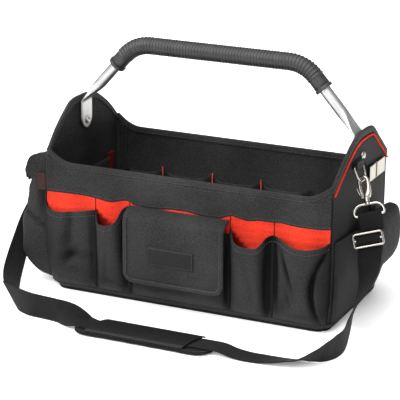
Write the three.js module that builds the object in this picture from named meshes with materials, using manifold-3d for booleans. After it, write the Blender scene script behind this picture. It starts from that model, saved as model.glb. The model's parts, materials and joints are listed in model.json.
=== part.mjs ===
import * as THREE from 'three'
import { mergeVertices } from 'three/addons/utils/BufferGeometryUtils.js'
import Module from 'manifold-3d'

// Open-top tool tote of coated black cloth with a swinging tube handle and a shoulder strap.
// Millimetres. +X runs along the bag, +Y to its back, +Z up. The front with the pockets faces -Y.
// The origin is the middle of the flat base, on the floor.

// Bag body
const LENGTH = 500
const DEPTH = 252
const RIM_HEIGHT = 221
const CORNER_HEIGHT = 241
const PEAK_HEIGHT = 305
const RIM_RISE = 48
const CORNER_RADIUS = 5
const WALL = 3
const FLOOR = 3
const FRONT_BOW = 2.5
const END_BOW = 2.5
const WALL_LEVELS = [0.07, 0.26, 0.5, 0.74, 0.95]

// Base, rim and trim
const BASE_THICKNESS = 5
const BASE_MARGIN = 7
const BASE_ROUND = 6
const BASE_PIPING = 3
const BINDING_THICKNESS = 1.2
const BINDING_HEIGHT = 9
const GAP = 0.3
const LAYER_GAP = 0.5
const END_PIPING = 3.2
const PIPING_DROP = 13
const PATCH_THICKNESS = 1.2
const PATCH_FRONT = -54
const PATCH_BACK = 102
const PATCH_BOTTOM_FRONT = 263
const PATCH_BOTTOM_BACK = 236

// Front layers and pockets
const BAND_THICKNESS = 1.6
const BAND_BOTTOM = 170
const BACKING_THICKNESS = 1.2
const POCKET_BOTTOM = 12
const POCKET_CLOTH = 1.8
const FLAP_LEFT = -96
const FLAP_RIGHT = 80
const FLAP_TOP = 168
const FLAP_BOTTOM = 47
const FLAP_CLOTH = 2.4
const FLAP_STAND = 25.1
const FLAP_CORNER = 17
const FLAP_ROLL = 20
const TAPE_WIDTH = 7
const TAPE_THICKNESS = 1
const LABEL = { x: -11, z: 97, width: 82, height: 30, thickness: 1.2 }

// End pockets, side tag and inside pockets
const END_POCKET_CLOTH = 2
const END_FLAP_CLOTH = 2.2
const INSIDE_CLOTH = 1.5
const INSIDE_STAND = 9
const BACK_SEAMS = [-0.92, -0.628, -0.248, 0.116, 0.48, 0.92]
const BACK_MOUTH = 146
const BACK_MOUTH_RISE = 8
const TAG = { x: -266, z: 181, width: 15, height: 28, thickness: 1, tuck: 0.3 }

// Handle
const PIVOT_HEIGHT = 262
const TUBE_DIAMETER = 19
const PLATE_THICKNESS = 4
const PLATE_WIDTH = 27
const PLATE_BELOW = 13.5
const PLATE_ABOVE = 35
const PLATE_STANDOFF = 2
const GRIP_HEIGHT = 401
const GRIP_DIAMETER = 29
const GRIP_COLLAR = 30.5
const COLLAR_WIDTH = 5
const GRIP_LEG = 25
const HANDLE_CORNER = 150
const HANDLE_BEND = 60
const TUBE_FLARE = 46
const RIVET_HEAD = 15
const RIVET_DOME = 4
const RIVET_SHAFT = 6
const WASHER_DIAMETER = 18

// Strap and its metal fittings
const WEBBING_WIDTH = 38
const WEBBING = 2
const RING_WIRE = 3.6
const RING_INNER = 34
const RING_DROP = 24
const RING_TOP = 253
const RING_TILT = 20
const TAB_WIDTH = 32
const TAB_HEIGHT = 9
const HOOK_BAR = 4.4
const HOOK_ARC = 7
const HOOK_LENGTH = 34
const HOOK_TIP = 5
const GATE_BAR = 3.4
const SWIVEL_DIAMETER = 9
const SWIVEL_HEIGHT = 7
const BOW_WIRE = 4.2
const BOW_HEIGHT = 21
const BOW_INNER = 43
const BUCKLE_WIRE = 4
const BUCKLE_HEIGHT = 25
const BUCKLE_INNER = 42
const CLIP = { y: 60, width: 72, top: 237, bottom: 212, thickness: 1.4, stand: 7, slot: 6 }
const CLIP_WEBBING = { y: 70, width: 62, bottom: 160 }
const PAD = { x: -2, y: -265, length: 242, width: 64, thickness: 7.5, rest: 0.3 }
const SLEEVE = { length: 168, cloth: 2, arch: 5 }

const BLACK = { color: 0x1b1b1d, roughness: 0.85, metalness: 0 }
const RED = { color: 0xe03a24, roughness: 0.8, metalness: 0 }
const STEEL = { color: 0xb9b6ae, roughness: 0.3, metalness: 1 }
const ALUMINIUM = { color: 0xc9cacb, roughness: 0.35, metalness: 1 }
const RUBBER = { color: 0x2b2c30, roughness: 0.6, metalness: 0 }
const WEBBING_BLACK = { color: 0x2c2c2f, roughness: 0.9, metalness: 0 }

const wasm = await Module()
wasm.setup()

const group = new THREE.Group()
const half = LENGTH / 2
const deep = DEPTH / 2
const straightX = half - CORNER_RADIUS
const straightY = deep - CORNER_RADIUS
const shellBottom = BASE_THICKNESS + GAP
const vec = (x, y, z) => new THREE.Vector3(x, y, z)
const mix = THREE.MathUtils.lerp
const clamp = THREE.MathUtils.clamp
const shares = (count) => Array.from({ length: count + 1 }, (_, i) => i / count)

function smooth(t) {
  const s = clamp(t, 0, 1)
  return s * s * (3 - 2 * s)
}

// A value read from rows of [place, value], in a straight line from row to row.
function table(rows, place) {
  const next = rows.findIndex(([at]) => at > place)
  if (next === 0) return rows[0][1]
  if (next < 0) return rows.at(-1)[1]
  const [from, low] = rows[next - 1]
  const [to, high] = rows[next]
  return mix(low, high, (place - from) / (to - from))
}

function add(name, geometry, look, parent = group) {
  const mesh = new THREE.Mesh(geometry, new THREE.MeshStandardMaterial(look))
  mesh.name = name
  parent.add(mesh)
  return mesh
}

// A closed body from points and triangles, turned so that its faces point outwards.
function body(points, faces) {
  let volume = 0
  for (const [a, b, c] of faces) {
    volume += points[a].dot(points[b].clone().cross(points[c]))
  }
  const index = volume > 0 ? faces.flat() : faces.flatMap(([a, b, c]) => [a, c, b])
  const geometry = new THREE.BufferGeometry()
  geometry.setAttribute('position', new THREE.Float32BufferAttribute(points.flatMap((p) => p.toArray()), 3))
  geometry.setIndex(index)
  geometry.computeVertexNormals()
  return geometry
}

// Rings of equal count joined by quads: a loop of rings when closed, else with a cap at each end.
function loft(rings, closed = false) {
  const count = rings[0].length
  const points = rings.flat()
  const faces = []
  const spans = closed ? rings.length : rings.length - 1
  for (let i = 0; i < spans; i++) {
    const a = i * count
    const b = ((i + 1) % rings.length) * count
    for (let j = 0; j < count; j++) {
      const k = (j + 1) % count
      faces.push([a + j, a + k, b + k], [a + j, b + k, b + j])
    }
  }
  const cap = (ring, start, turned) => {
    const middle = ring.reduce((sum, p) => sum.add(p), vec(0, 0, 0)).divideScalar(count)
    const centre = points.push(middle) - 1
    for (let j = 0; j < count; j++) {
      const k = (j + 1) % count
      faces.push(turned ? [centre, start + k, start + j] : [centre, start + j, start + k])
    }
  }
  if (!closed) {
    cap(rings[0], 0, true)
    cap(rings.at(-1), (rings.length - 1) * count, false)
  }
  return body(points, faces)
}

// A panel between two grids of points of the same size, its outer face and its inner one.
function panel(outer, inner) {
  const rows = outer[0].length
  const lastU = outer.length - 1
  const points = [...outer.flat(), ...inner.flat()]
  const back = outer.length * rows
  const faces = []
  const quad = (a, b, c, d) => faces.push([a, b, c], [a, c, d])
  for (let i = 0; i < lastU; i++) {
    for (let j = 0; j < rows - 1; j++) {
      const a = i * rows + j
      quad(a, a + rows, a + rows + 1, a + 1)
      quad(back + a, back + a + 1, back + a + rows + 1, back + a + rows)
    }
    const low = i * rows
    const high = low + rows - 1
    quad(low, back + low, back + low + rows, low + rows)
    quad(high, high + rows, back + high + rows, back + high)
  }
  for (let j = 0; j < rows - 1; j++) {
    const right = lastU * rows + j
    quad(j, j + 1, back + j + 1, back + j)
    quad(right, back + right, back + right + 1, right + 1)
  }
  return body(points, faces)
}

// A sheet of cloth: place(u, v) is its outer face, and the cloth lies behind it by its thickness.
// us and vs are the shares at which it is read, and facing is a rough outward direction.
function sheet(us, vs, place, thickness, facing) {
  const outer = us.map((u) => vs.map((v) => place(u, v)))
  const rows = vs.length
  const lastU = us.length - 1
  const inner = outer.map((line, i) => line.map((p, j) => {
    const across = outer[Math.min(i + 1, lastU)][j].clone().sub(outer[Math.max(i - 1, 0)][j])
    const along = line[Math.min(j + 1, rows - 1)].clone().sub(line[Math.max(j - 1, 0)])
    const normal = across.cross(along).normalize()
    if (normal.dot(facing) < 0) normal.negate()
    return p.clone().addScaledVector(normal, -thickness)
  }))
  return panel(outer, inner)
}

// Directions along a path, one for each of its points.
function headings(path, closed) {
  const last = path.length - 1
  return path.map((p, i) => {
    const before = closed ? path[(i + last) % path.length] : path[Math.max(i - 1, 0)]
    const after = closed ? path[(i + 1) % path.length] : path[Math.min(i + 1, last)]
    return after.clone().sub(before).normalize()
  })
}

// A bar along a path that lies in one plane with the given normal.
// section(i) lists [across, sideways] pairs, sideways along that normal.
function bar(path, normal, section, closed = false) {
  const ways = headings(path, closed)
  const rings = path.map((p, i) => {
    const across = ways[i].clone().cross(normal).normalize()
    return section(i).map(([a, s]) => p.clone().addScaledVector(across, a).addScaledVector(normal, s))
  })
  return loft(rings, closed)
}

function ellipse(across, sideways, sides, power = 2) {
  return shares(sides).slice(0, sides).map((share) => {
    const angle = 2 * Math.PI * (share + 0.5 / sides)
    const c = Math.cos(angle)
    const s = Math.sin(angle)
    return [
      across * Math.sign(c) * Math.abs(c) ** (2 / power),
      sideways * Math.sign(s) * Math.abs(s) ** (2 / power),
    ]
  })
}

const wire = (path, normal, diameter, sides, closed = false) =>
  bar(path, normal, () => ellipse(diameter / 2, diameter / 2, sides), closed)

// A closed outline with rounded corners from rows of [x, z, radius], in the plane y = 0.
function roundedOutline(corners, steps) {
  return corners.flatMap(([x, z, radius], i) => {
    const [px, pz] = corners[(i + corners.length - 1) % corners.length]
    const [nx, nz] = corners[(i + 1) % corners.length]
    const corner = vec(x, 0, z)
    const before = vec(px - x, 0, pz - z).normalize()
    const after = vec(nx - x, 0, nz - z).normalize()
    const angle = before.angleTo(after) / 2
    const centre = corner.clone()
      .addScaledVector(before.clone().add(after).normalize(), radius / Math.sin(angle))
    const start = corner.clone().addScaledVector(before, radius / Math.tan(angle)).sub(centre)
    const axis = start.clone().cross(corner.clone().sub(centre)).normalize()
    return shares(steps).map((t) =>
      start.clone().applyAxisAngle(axis, (Math.PI - 2 * angle) * t).add(centre))
  })
}

// Manifold solids are used for joins and bores only.
function toSolid(geometry) {
  const bare = geometry.clone()
  bare.deleteAttribute('normal')
  bare.deleteAttribute('uv')
  const merged = mergeVertices(bare, 1e-4)
  return new wasm.Manifold(new wasm.Mesh({
    numProp: 3,
    vertProperties: new Float32Array(merged.attributes.position.array),
    triVerts: new Uint32Array(merged.index.array),
  }))
}

function fromSolid(solid) {
  const mesh = solid.getMesh()
  const geometry = new THREE.BufferGeometry()
  geometry.setAttribute('position', new THREE.Float32BufferAttribute(mesh.vertProperties, 3))
  geometry.setIndex(Array.from(mesh.triVerts))
  geometry.computeVertexNormals()
  return geometry
}

const joined = (...geometries) =>
  fromSolid(geometries.map(toSolid).reduce((whole, piece) => whole.add(piece)))

// A round cutter along X at the rivets' height, right through the bag.
function crossBore(diameter) {
  const bore = new THREE.CylinderGeometry(diameter / 2, diameter / 2, 2 * LENGTH, 16)
  bore.rotateZ(Math.PI / 2)
  bore.translate(0, 0, PIVOT_HEIGHT)
  return toSolid(bore)
}

const rivetBore = crossBore(RIVET_SHAFT + 2 * LAYER_GAP)
const bored = (geometry) => fromSolid(toSolid(geometry).subtract(rivetBore))

// The rim is level along the front and back, rises at the corners and peaks over each end panel.
// at is a share of half the depth, left and right the share of the rise from corner to peak at each
// end.
const END_RIM = [
  { at: -1, left: 0, right: 0 },
  { at: -0.78, left: 0.42, right: 0.29 },
  { at: -0.58, left: 0.71, right: 0.52 },
  { at: -0.35, left: 0.96, right: 0.76 },
  { at: -0.2, left: 1, right: 0.87 },
  { at: 0, left: 1, right: 0.93 },
  { at: 0.2, left: 0.96, right: 0.93 },
  { at: 0.38, left: 0.86, right: 0.9 },
  { at: 0.48, left: 0.76, right: 0.8 },
  { at: 0.65, left: 0.56, right: 0.53 },
  { at: 0.83, left: 0.3, right: 0.27 },
  { at: 1, left: 0, right: 0 },
]
const sideName = (side) => (side < 0 ? 'left' : 'right')
const rimTable = (key) => END_RIM.map((row) => [row.at * straightY, row[key]])

function endRim(side, y) {
  return mix(CORNER_HEIGHT, PEAK_HEIGHT, table(rimTable(sideName(side)), y))
}

function longRim(x) {
  const rise = RIM_RISE - CORNER_RADIUS
  const past = clamp((Math.abs(x) - (half - RIM_RISE)) / rise, 0, 1)
  return mix(RIM_HEIGHT, CORNER_HEIGHT, past * past)
}

// How far the soft walls stand out between their edges, straight from one level to the next.
const levels = WALL_LEVELS.map((share) => share * RIM_HEIGHT)
const bulge = levels.map((z) => [z, Math.sin((Math.PI * (z - levels[0])) / (levels.at(-1) - levels[0]))])

function longBow(x, z) {
  return FRONT_BOW * (1 - clamp(Math.abs(x) / straightX, 0, 1) ** 2) * table(bulge, z)
}

function endBow(y, z) {
  return END_BOW * (1 - clamp(Math.abs(y) / straightY, 0, 1) ** 2) * table(bulge, z)
}

const frontFace = (x, z) => -(deep + longBow(x, z))
const endFace = (y, z) => half + endBow(y, z)

// Stations round the plan, each with its place, outward direction, rim height and bow.
function stations(longSteps, ends, cornerSteps) {
  const spread = (steps) => shares(steps).map((t) => (Math.sin((t - 0.5) * Math.PI) + 2 * t - 1) / 2)
  const longSide = (ny) => spread(longSteps).map((t) => {
    const x = -ny * t * straightX
    return { x, y: ny * deep, nx: 0, ny, rim: longRim(x), bow: (z) => longBow(x, z) }
  })
  const endSide = (nx) => (nx > 0 ? ends : ends.toReversed()).map((at) => {
    const y = at * straightY
    return { x: nx * half, y, nx, ny: 0, rim: endRim(nx, y), bow: (z) => endBow(y, z) }
  })
  const corner = (cx, cy) => shares(cornerSteps).slice(1, -1).map((t) => {
    const start = Math.atan2(cx > 0 === cy < 0 ? cy : 0, cx > 0 === cy < 0 ? 0 : cx)
    const angle = start + (Math.PI / 2) * t
    const nx = Math.cos(angle)
    const ny = Math.sin(angle)
    return {
      x: cx * straightX + CORNER_RADIUS * nx, y: cy * straightY + CORNER_RADIUS * ny,
      nx, ny, rim: CORNER_HEIGHT, bow: () => 0,
    }
  })
  return [
    ...longSide(-1), ...corner(1, -1), ...endSide(1), ...corner(1, 1),
    ...longSide(1), ...corner(-1, 1), ...endSide(-1), ...corner(-1, -1),
  ]
}

const round = stations(10, END_RIM.map((row) => row.at), 2)
const around = stations(6, [-1, -0.5, 0, 0.5, 1], 2)

// A ring round the plan, set in from the outer face, at a height found for each station.
function ringAt(list, inset, heightOf) {
  return list.map((s) => {
    const z = heightOf(s)
    const out = s.bow(z) - inset
    return vec(s.x + s.nx * out, s.y + s.ny * out, z)
  })
}

// A ring near the foot, drawn in by a share of the bag's lower rounding, with rounder corners.
function footRing(list, share, inset, z) {
  const radius = CORNER_RADIUS + (share * BASE_ROUND) / 2
  const reach = share * BASE_ROUND + inset + radius
  const place = (value, out, straight, middle) =>
    ((value - CORNER_RADIUS * out) * (middle - reach)) / straight + radius * out
  return list.map((s) => vec(place(s.x, s.nx, straightX, half), place(s.y, s.ny, straightY, deep), z))
}

// Cloth shell, open on top and sewn from five panels: a floor, two long walls that turn the corners,
// and two peaked ends with bores for the handle's rivets.
const floorTop = shellBottom + FLOOR
const wallFoot = floorTop + GAP

add('shell_floor', loft([
  footRing(around, 1, 0, shellBottom), footRing(around, 0.45, 0, floorTop),
]), BLACK)

function shellWall(list) {
  const outer = [
    footRing(list, 0.4, 0, wallFoot), ...levels.map((z) => ringAt(list, 0, () => z)), ringAt(list, 0, (s) => s.rim),
  ]
  const inner = [
    footRing(list, 0.4, WALL, wallFoot), ...levels.map((z) => ringAt(list, WALL, () => z)), ringAt(list, WALL, (s) => s.rim),
  ]
  const turned = (rings) => list.map((_, i) => rings.map((ring) => ring[i]))
  return panel(turned(outer), turned(inner))
}

// The stations of one side of the plan. A long side takes its two corners along, and an end stays
// just clear of them.
function longSideOf(ny) {
  const side = round.filter((s) => Math.sign(s.ny) === ny)
  const first = side.findIndex((s, i) => i > 0 && Math.abs(s.x - side[i - 1].x) > half)
  const turned = first < 0 ? side : [...side.slice(first), ...side.slice(0, first)]
  const end = (nx) => round.find((s) => s.nx === nx && s.ny === 0 && Math.abs(s.y - ny * straightY) < 1e-6)
  return [end(ny), ...turned, end(-ny)]
}

function endSideOf(nx) {
  return round.filter((s) => s.nx === nx && s.ny === 0).map((s) => ({ ...s, y: s.y * (1 - GAP / straightY) }))
}

add('shell_front', shellWall(longSideOf(-1)), BLACK)
add('shell_back', shellWall(longSideOf(1)), BLACK)
add('shell_left', bored(shellWall(endSideOf(-1))), BLACK)
add('shell_right', bored(shellWall(endSideOf(1))), BLACK)

// Stiff base under the shell, and the piping sewn round its edge.
function basePanel() {
  return loft([
    footRing(around, 1, BASE_MARGIN - BASE_ROUND + 2, 0),
    footRing(around, 1, BASE_MARGIN - BASE_ROUND, 2),
    footRing(around, 1, BASE_MARGIN - BASE_ROUND, BASE_THICKNESS),
  ])
}

add('base_panel', basePanel(), BLACK)

const pipingHeight = levels[0] - BASE_PIPING / 2
const pocketFoot = Math.max(POCKET_BOTTOM, pipingHeight + BASE_PIPING / 2 + GAP)

function basePiping() {
  const radius = BASE_PIPING / 2
  const rings = ellipse(radius, radius, 5).map(([out, up]) =>
    ringAt(around, -(radius + LAYER_GAP + out), () => pipingHeight + up))
  return loft(around.map((_, i) => rings.map((ring) => ring[i])), true)
}

add('base_piping', basePiping(), BLACK)

// Tape folded over the rim, all round.
function rimBinding() {
  const out = GAP
  const inner = WALL + GAP
  const t = BINDING_THICKNESS
  const profile = [
    [out + t, -BINDING_HEIGHT], [out + t, LAYER_GAP + t], [-inner - t, LAYER_GAP + t], [-inner - t, -BINDING_HEIGHT],
    [-inner, -BINDING_HEIGHT], [-inner, LAYER_GAP], [out, LAYER_GAP], [out, -BINDING_HEIGHT],
  ]
  return loft(round.map((s) => profile.map(([reach, rise]) => {
    const z = s.rim + rise
    const place = s.bow(z) + reach
    return vec(s.x + s.nx * place, s.y + s.ny * place, z)
  })), true)
}

add('rim_binding', rimBinding(), BLACK)

// Front: red backing cloth below, the black band above it.
const FRONT = vec(0, -1, 0)
const frontEdge = half
const backingFace = LAYER_GAP + BACKING_THICKNESS

function onFront(x, z, stand) {
  return vec(x, frontFace(x, z) - stand, z)
}

const frontXs = [-frontEdge, ...round.filter((s) => s.ny === -1 && Math.abs(s.x) < frontEdge).map((s) => s.x), frontEdge]
const backingLevels = [pocketFoot, ...levels.filter((z) => z > pocketFoot && z < BAND_BOTTOM - LAYER_GAP), BAND_BOTTOM - LAYER_GAP]

add('front_backing', sheet(frontXs, backingLevels, (x, z) => onFront(x, z, backingFace), BACKING_THICKNESS, FRONT), RED)

add('front_band', sheet(frontXs, [0, 0.5, 1], (x, v) => {
  const top = longRim(x) - BINDING_HEIGHT - LAYER_GAP
  return onFront(x, mix(BAND_BOTTOM, top, v), LAYER_GAP + BAND_THICKNESS)
}, BAND_THICKNESS, FRONT), BLACK)

// Front pockets. from and to are shares of half the length, top lists the mouth's height at shares of
// the way across, mouth and foot are how far the cloth stands out at top and bottom, and box is how
// square its plan is.
const FRONT_POCKETS = [
  {
    name: 'pocket_1', from: -1, to: -0.633, mouth: 8, foot: 7, box: 3,
    top: [[0, 148], [0.13, 141], [0.34, 140], [0.6, 145], [1, 151]],
  },
  {
    name: 'pocket_2', from: -0.631, to: -0.386, mouth: 18, foot: 8, box: 3,
    top: [[0, 149], [0.14, 131], [0.36, 129], [0.6, 134], [0.8, 150], [1, 163]],
  },
  { name: 'flap_pocket', from: -0.384, to: 0.322, mouth: 21, foot: 15, box: 10, top: [[0, 146], [1, 146]] },
  {
    name: 'pocket_3', from: 0.324, to: 0.62, mouth: 19, foot: 8, box: 3,
    top: [[0, 140], [0.28, 131], [0.5, 129], [0.78, 138], [1, 151]],
  },
  {
    name: 'pocket_4', from: 0.622, to: 1, mouth: 13, foot: 8, box: 3,
    top: [[0, 152], [0.18, 148], [0.4, 141], [0.57, 142], [0.86, 150], [1, 158]],
  },
]

// Dents and folds in the front pockets: u and v are their middle, as shares of the pocket, wide and
// tall their reach, lean how far they run sideways on the way up, and depth the dent in millimetres.
const FRONT_FOLDS = [
  { pocket: 'pocket_1', u: 0.55, v: 0.62, wide: 0.1, tall: 0.2, lean: 0.1, depth: 3.5 },
  { pocket: 'pocket_1', u: 0.62, v: 0.33, wide: 0.28, tall: 0.08, lean: 0, depth: 3 },
  { pocket: 'pocket_2', u: 0.86, v: 0.6, wide: 0.12, tall: 0.5, lean: 0, depth: 6 },
  { pocket: 'pocket_3', u: 0.9, v: 0.62, wide: 0.12, tall: 0.42, lean: 0, depth: 7 },
  { pocket: 'pocket_4', u: 0.12, v: 0.62, wide: 0.1, tall: 0.4, lean: 0, depth: 5 },
  { pocket: 'pocket_4', u: 0.34, v: 0.66, wide: 0.07, tall: 0.22, lean: -0.3, depth: 4 },
  { pocket: 'pocket_4', u: 0.68, v: 0.4, wide: 0.08, tall: 0.4, lean: 0.12, depth: 6 },
]

function dent(folds, u, v) {
  return folds.reduce((sum, f) => {
    const across = (u - f.u - f.lean * (v - f.v)) / f.wide
    const along = (v - f.v) / f.tall
    return sum + f.depth * Math.exp(-across * across - along * along)
  }, 0)
}

function frontPocket(row) {
  const folds = FRONT_FOLDS.filter((f) => f.pocket === row.name)
  const base = backingFace + LAYER_GAP + POCKET_CLOTH
  const us = [0, 0.05, 0.14, 0.28, 0.43, 0.58, 0.72, 0.86, 0.95, 1]
  const vs = [0, 0.06, 0.22, 0.42, 0.62, 0.82, 1]
  return sheet(us, vs, (u, v) => {
    const x = mix(row.from * half, row.to * half, u)
    const z = mix(pocketFoot, table(row.top, u), v)
    const plan = 1 - Math.abs(2 * u - 1) ** row.box
    const rise = mix(row.foot, row.mouth, smooth(v)) * Math.sqrt(smooth(v / 0.12))
    return onFront(x, z, base + Math.max(rise * plan - dent(folds, u, v) * plan, 0))
  }, POCKET_CLOTH, FRONT)
}

for (const row of FRONT_POCKETS) {
  add(row.name, frontPocket(row), BLACK)
}

// The middle pocket's flap, its edge tape and its bare label.
const flapMiddle = (FLAP_LEFT + FLAP_RIGHT) / 2
const flapHalf = (FLAP_RIGHT - FLAP_LEFT) / 2
const flapBase = backingFace + LAYER_GAP + FLAP_CLOTH / 4

function flapStand(x, z) {
  const down = clamp((FLAP_TOP - z) / FLAP_ROLL, 0, 1)
  const edge = Math.abs(x - flapMiddle) / flapHalf
  return flapBase + FLAP_STAND * Math.sqrt(1 - (1 - down) ** 2) * (1 - 0.06 * edge ** 6)
}

function flapFoot(x) {
  const past = Math.max(Math.abs(x - flapMiddle) - (flapHalf - FLAP_CORNER), 0)
  return FLAP_BOTTOM + FLAP_CORNER - Math.sqrt(Math.max(FLAP_CORNER ** 2 - past ** 2, 0))
}

function flapSheet() {
  const rounded = Math.sqrt(0.5)
  const corner = FLAP_CORNER / (2 * flapHalf)
  const us = [0, corner * (1 - rounded), corner, 0.3, 0.5, 0.7, 1 - corner, 1 - corner * (1 - rounded), 1]
  const vs = [0, 0.02, 0.06, 0.11, 0.17, 0.4, 0.7, 1]
  return sheet(us, vs, (u, v) => {
    const x = mix(FLAP_LEFT, FLAP_RIGHT, u)
    const z = mix(FLAP_TOP, flapFoot(x), v)
    return onFront(x, z, flapStand(x, z))
  }, FLAP_CLOTH, FRONT)
}

add('front_flap', flapSheet(), BLACK)

// Places round the flap's two sides and foot, each with its direction into the flap.
function flapEdge() {
  const top = FLAP_TOP - FLAP_ROLL
  const low = FLAP_BOTTOM + FLAP_CORNER
  const side = (sign, heights) => heights.map((z) => ({ x: flapMiddle + sign * flapHalf, z, ix: -sign, iz: 0 }))
  const corner = (sign, turns) => turns.map((t) => {
    const ox = sign * Math.cos((Math.PI / 2) * t)
    const oz = -Math.sin((Math.PI / 2) * t)
    return {
      x: flapMiddle + sign * (flapHalf - FLAP_CORNER) + FLAP_CORNER * ox,
      z: low + FLAP_CORNER * oz, ix: -ox, iz: -oz,
    }
  })
  const turns = [0.25, 0.5, 0.75, 1]
  const foot = [0.3, 0.5, 0.7].map((u) => ({ x: mix(FLAP_LEFT, FLAP_RIGHT, u), z: FLAP_BOTTOM, ix: 0, iz: 1 }))
  return [
    ...side(-1, [top, mix(top, low, 0.5), low]), ...corner(-1, turns), ...foot,
    ...corner(1, turns.toReversed()), ...side(1, [low, mix(top, low, 0.5), top]),
  ]
}

function flapTape() {
  const edge = flapEdge()
  return sheet(edge.map((_, i) => i), [0, 1], (i, v) => {
    const { x, z, ix, iz } = edge[i]
    const px = x + ix * v * TAPE_WIDTH
    const pz = z + iz * v * TAPE_WIDTH
    return onFront(px, pz, flapStand(px, pz) + LAYER_GAP + TAPE_THICKNESS)
  }, TAPE_THICKNESS, FRONT)
}

add('flap_tape', flapTape(), BLACK)

add('flap_label', sheet(shares(4), shares(1), (u, v) => {
  const x = LABEL.x + (u - 0.5) * LABEL.width
  const z = LABEL.z + (v - 0.5) * LABEL.height
  return onFront(x, z, flapStand(x, z) + LAYER_GAP + LABEL.thickness)
}, LABEL.thickness, FRONT), BLACK)

// End pockets. side is -1 left and +1 right, front and back are places on Y and mouth is the height
// of the pocket's edge. stand lists [height share, reach] up the pocket, and plan the share of that
// reach at each share of the way from front to back.
const END_POCKETS = [
  {
    name: 'left_end_pocket', side: -1, front: -116, back: -6, mouth: 186,
    stand: [[0, 2], [0.02, 24], [0.06, 38], [0.13, 51], [0.24, 59], [0.5, 59], [0.68, 52], [0.85, 45], [1, 38]],
    plan: [[0, 0], [0.02, 0.5], [0.06, 0.88], [0.14, 0.99], [0.5, 1], [0.84, 0.97], [0.94, 0.72], [1, 0]],
  },
  {
    name: 'right_end_pocket', side: 1, front: -100, back: 88, mouth: 150,
    stand: [[0, 0], [0.09, 5], [0.26, 13], [0.43, 21], [0.54, 26.5], [0.7, 31], [0.87, 31], [1, 28]],
    plan: [[0, 0], [0.05, 0.1], [0.21, 0.14], [0.37, 0.3], [0.53, 0.7], [0.64, 1], [0.9, 1], [0.96, 0.7], [1, 0]],
  },
]

// Flaps of the end pockets, as [reach, height] up, over and down from the end panel, and how far they
// sink from front to back.
const END_FLAPS = [
  {
    name: 'left_end_flap', side: -1, front: -110, back: -40, sink: 10,
    route: [[-2.2, 214], [9, 223], [26, 225], [38, 219], [46, 208], [49, 197], [48.5, 186], [46.5, 178]],
  },
  {
    name: 'right_end_flap', side: 1, front: -6, back: 84, sink: 0,
    route: [[-2.2, 150], [8, 158], [20, 164], [30, 162], [36.4, 152], [39, 131], [38.2, 107], [34.5, 88], [28, 74]],
  },
]

function onEnd(side, y, z, stand) {
  return vec(side * (endFace(y, z) + stand), y, z)
}

function endPocket(row) {
  const us = row.plan.map(([u]) => u)
  const vs = row.stand.map(([v]) => v)
  return sheet(us, vs, (u, v) => {
    const y = mix(row.front, row.back, u)
    const z = mix(pocketFoot, row.mouth, v)
    return onEnd(row.side, y, z, LAYER_GAP + END_POCKET_CLOTH + table(row.stand, v) * table(row.plan, u))
  }, END_POCKET_CLOTH, vec(row.side, 0, 0))
}

for (const row of END_POCKETS) {
  add(row.name, endPocket(row), BLACK)
}

function endFlap(row) {
  const us = [0, 0.08, 0.3, 0.5, 0.7, 0.92, 1]
  return sheet(us, row.route.map((_, i) => i), (u, i) => {
    const [reach, z] = row.route[i]
    const y = mix(row.front, row.back, u)
    const curl = 1 - 0.02 * Math.abs(2 * u - 1) ** 4
    const low = z - row.sink * u
    return onEnd(row.side, y, low, LAYER_GAP + END_FLAP_CLOTH + reach * curl)
  }, END_FLAP_CLOTH, vec(row.side, 0, 1.2))
}

for (const row of END_FLAPS) {
  add(row.name, endFlap(row), BLACK)
}

// A bare tag sewn to the front of the left end pocket, which draws in a little past its seam.
const tagFace = END_POCKETS[0].front + TAG.tuck
const tag = new THREE.BoxGeometry(TAG.width, TAG.thickness, TAG.height)
tag.translate(TAG.x, tagFace - TAG.thickness / 2, TAG.z)
add('side_tag', tag, BLACK)

// End panels: red piping in a chevron, and the reinforcing patch below it that holds the ring tab.
const pipingHeights = (side) => END_RIM.map((row) => [
  row.at * straightY, mix(CORNER_HEIGHT, PEAK_HEIGHT, row[sideName(side)]) - PIPING_DROP,
])

function endPiping(side) {
  const path = pipingHeights(side).map(([y, z]) => vec(side * (half + LAYER_GAP + END_PIPING / 2), y, z))
  return wire(path, vec(1, 0, 0), END_PIPING, 5)
}

// The left end is the right end turned half round, so its patch and ring tab lie on the other side.
function endPatch(side) {
  const heights = pipingHeights(side)
  const places = [
    side * PATCH_FRONT, ...heights.map(([y]) => y), side * PATCH_BACK, -side * 6, side * 14, side * 30,
  ].filter((y) => side * y >= PATCH_FRONT && side * y <= PATCH_BACK).sort((a, b) => a - b)
  return bored(sheet(places, [0, 1], (y, v) => {
    const low = mix(PATCH_BOTTOM_FRONT, PATCH_BOTTOM_BACK, smooth((side * y + 6) / 36))
    const high = Math.max(table(heights, y) - (END_PIPING / 2 + LAYER_GAP) * 1.35, low + 2)
    return vec(side * (half + LAYER_GAP + PATCH_THICKNESS), y, mix(low, high, v))
  }, PATCH_THICKNESS, vec(side, 0, 0)))
}

for (const [end, side] of [['left', -1], ['right', 1]]) {
  add(`${end}_piping`, endPiping(side), RED)
  add(`${end}_patch`, endPatch(side), BLACK)
}

// Handle: one tube with both ends pressed flat, hung on a rivet through each end panel.
const plateFace = half - WALL - PLATE_STANDOFF
const plateX = plateFace - PLATE_THICKNESS / 2
const foldHeight = PIVOT_HEIGHT + PLATE_ABOVE
const AXIS_Y = vec(0, 1, 0)

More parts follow.
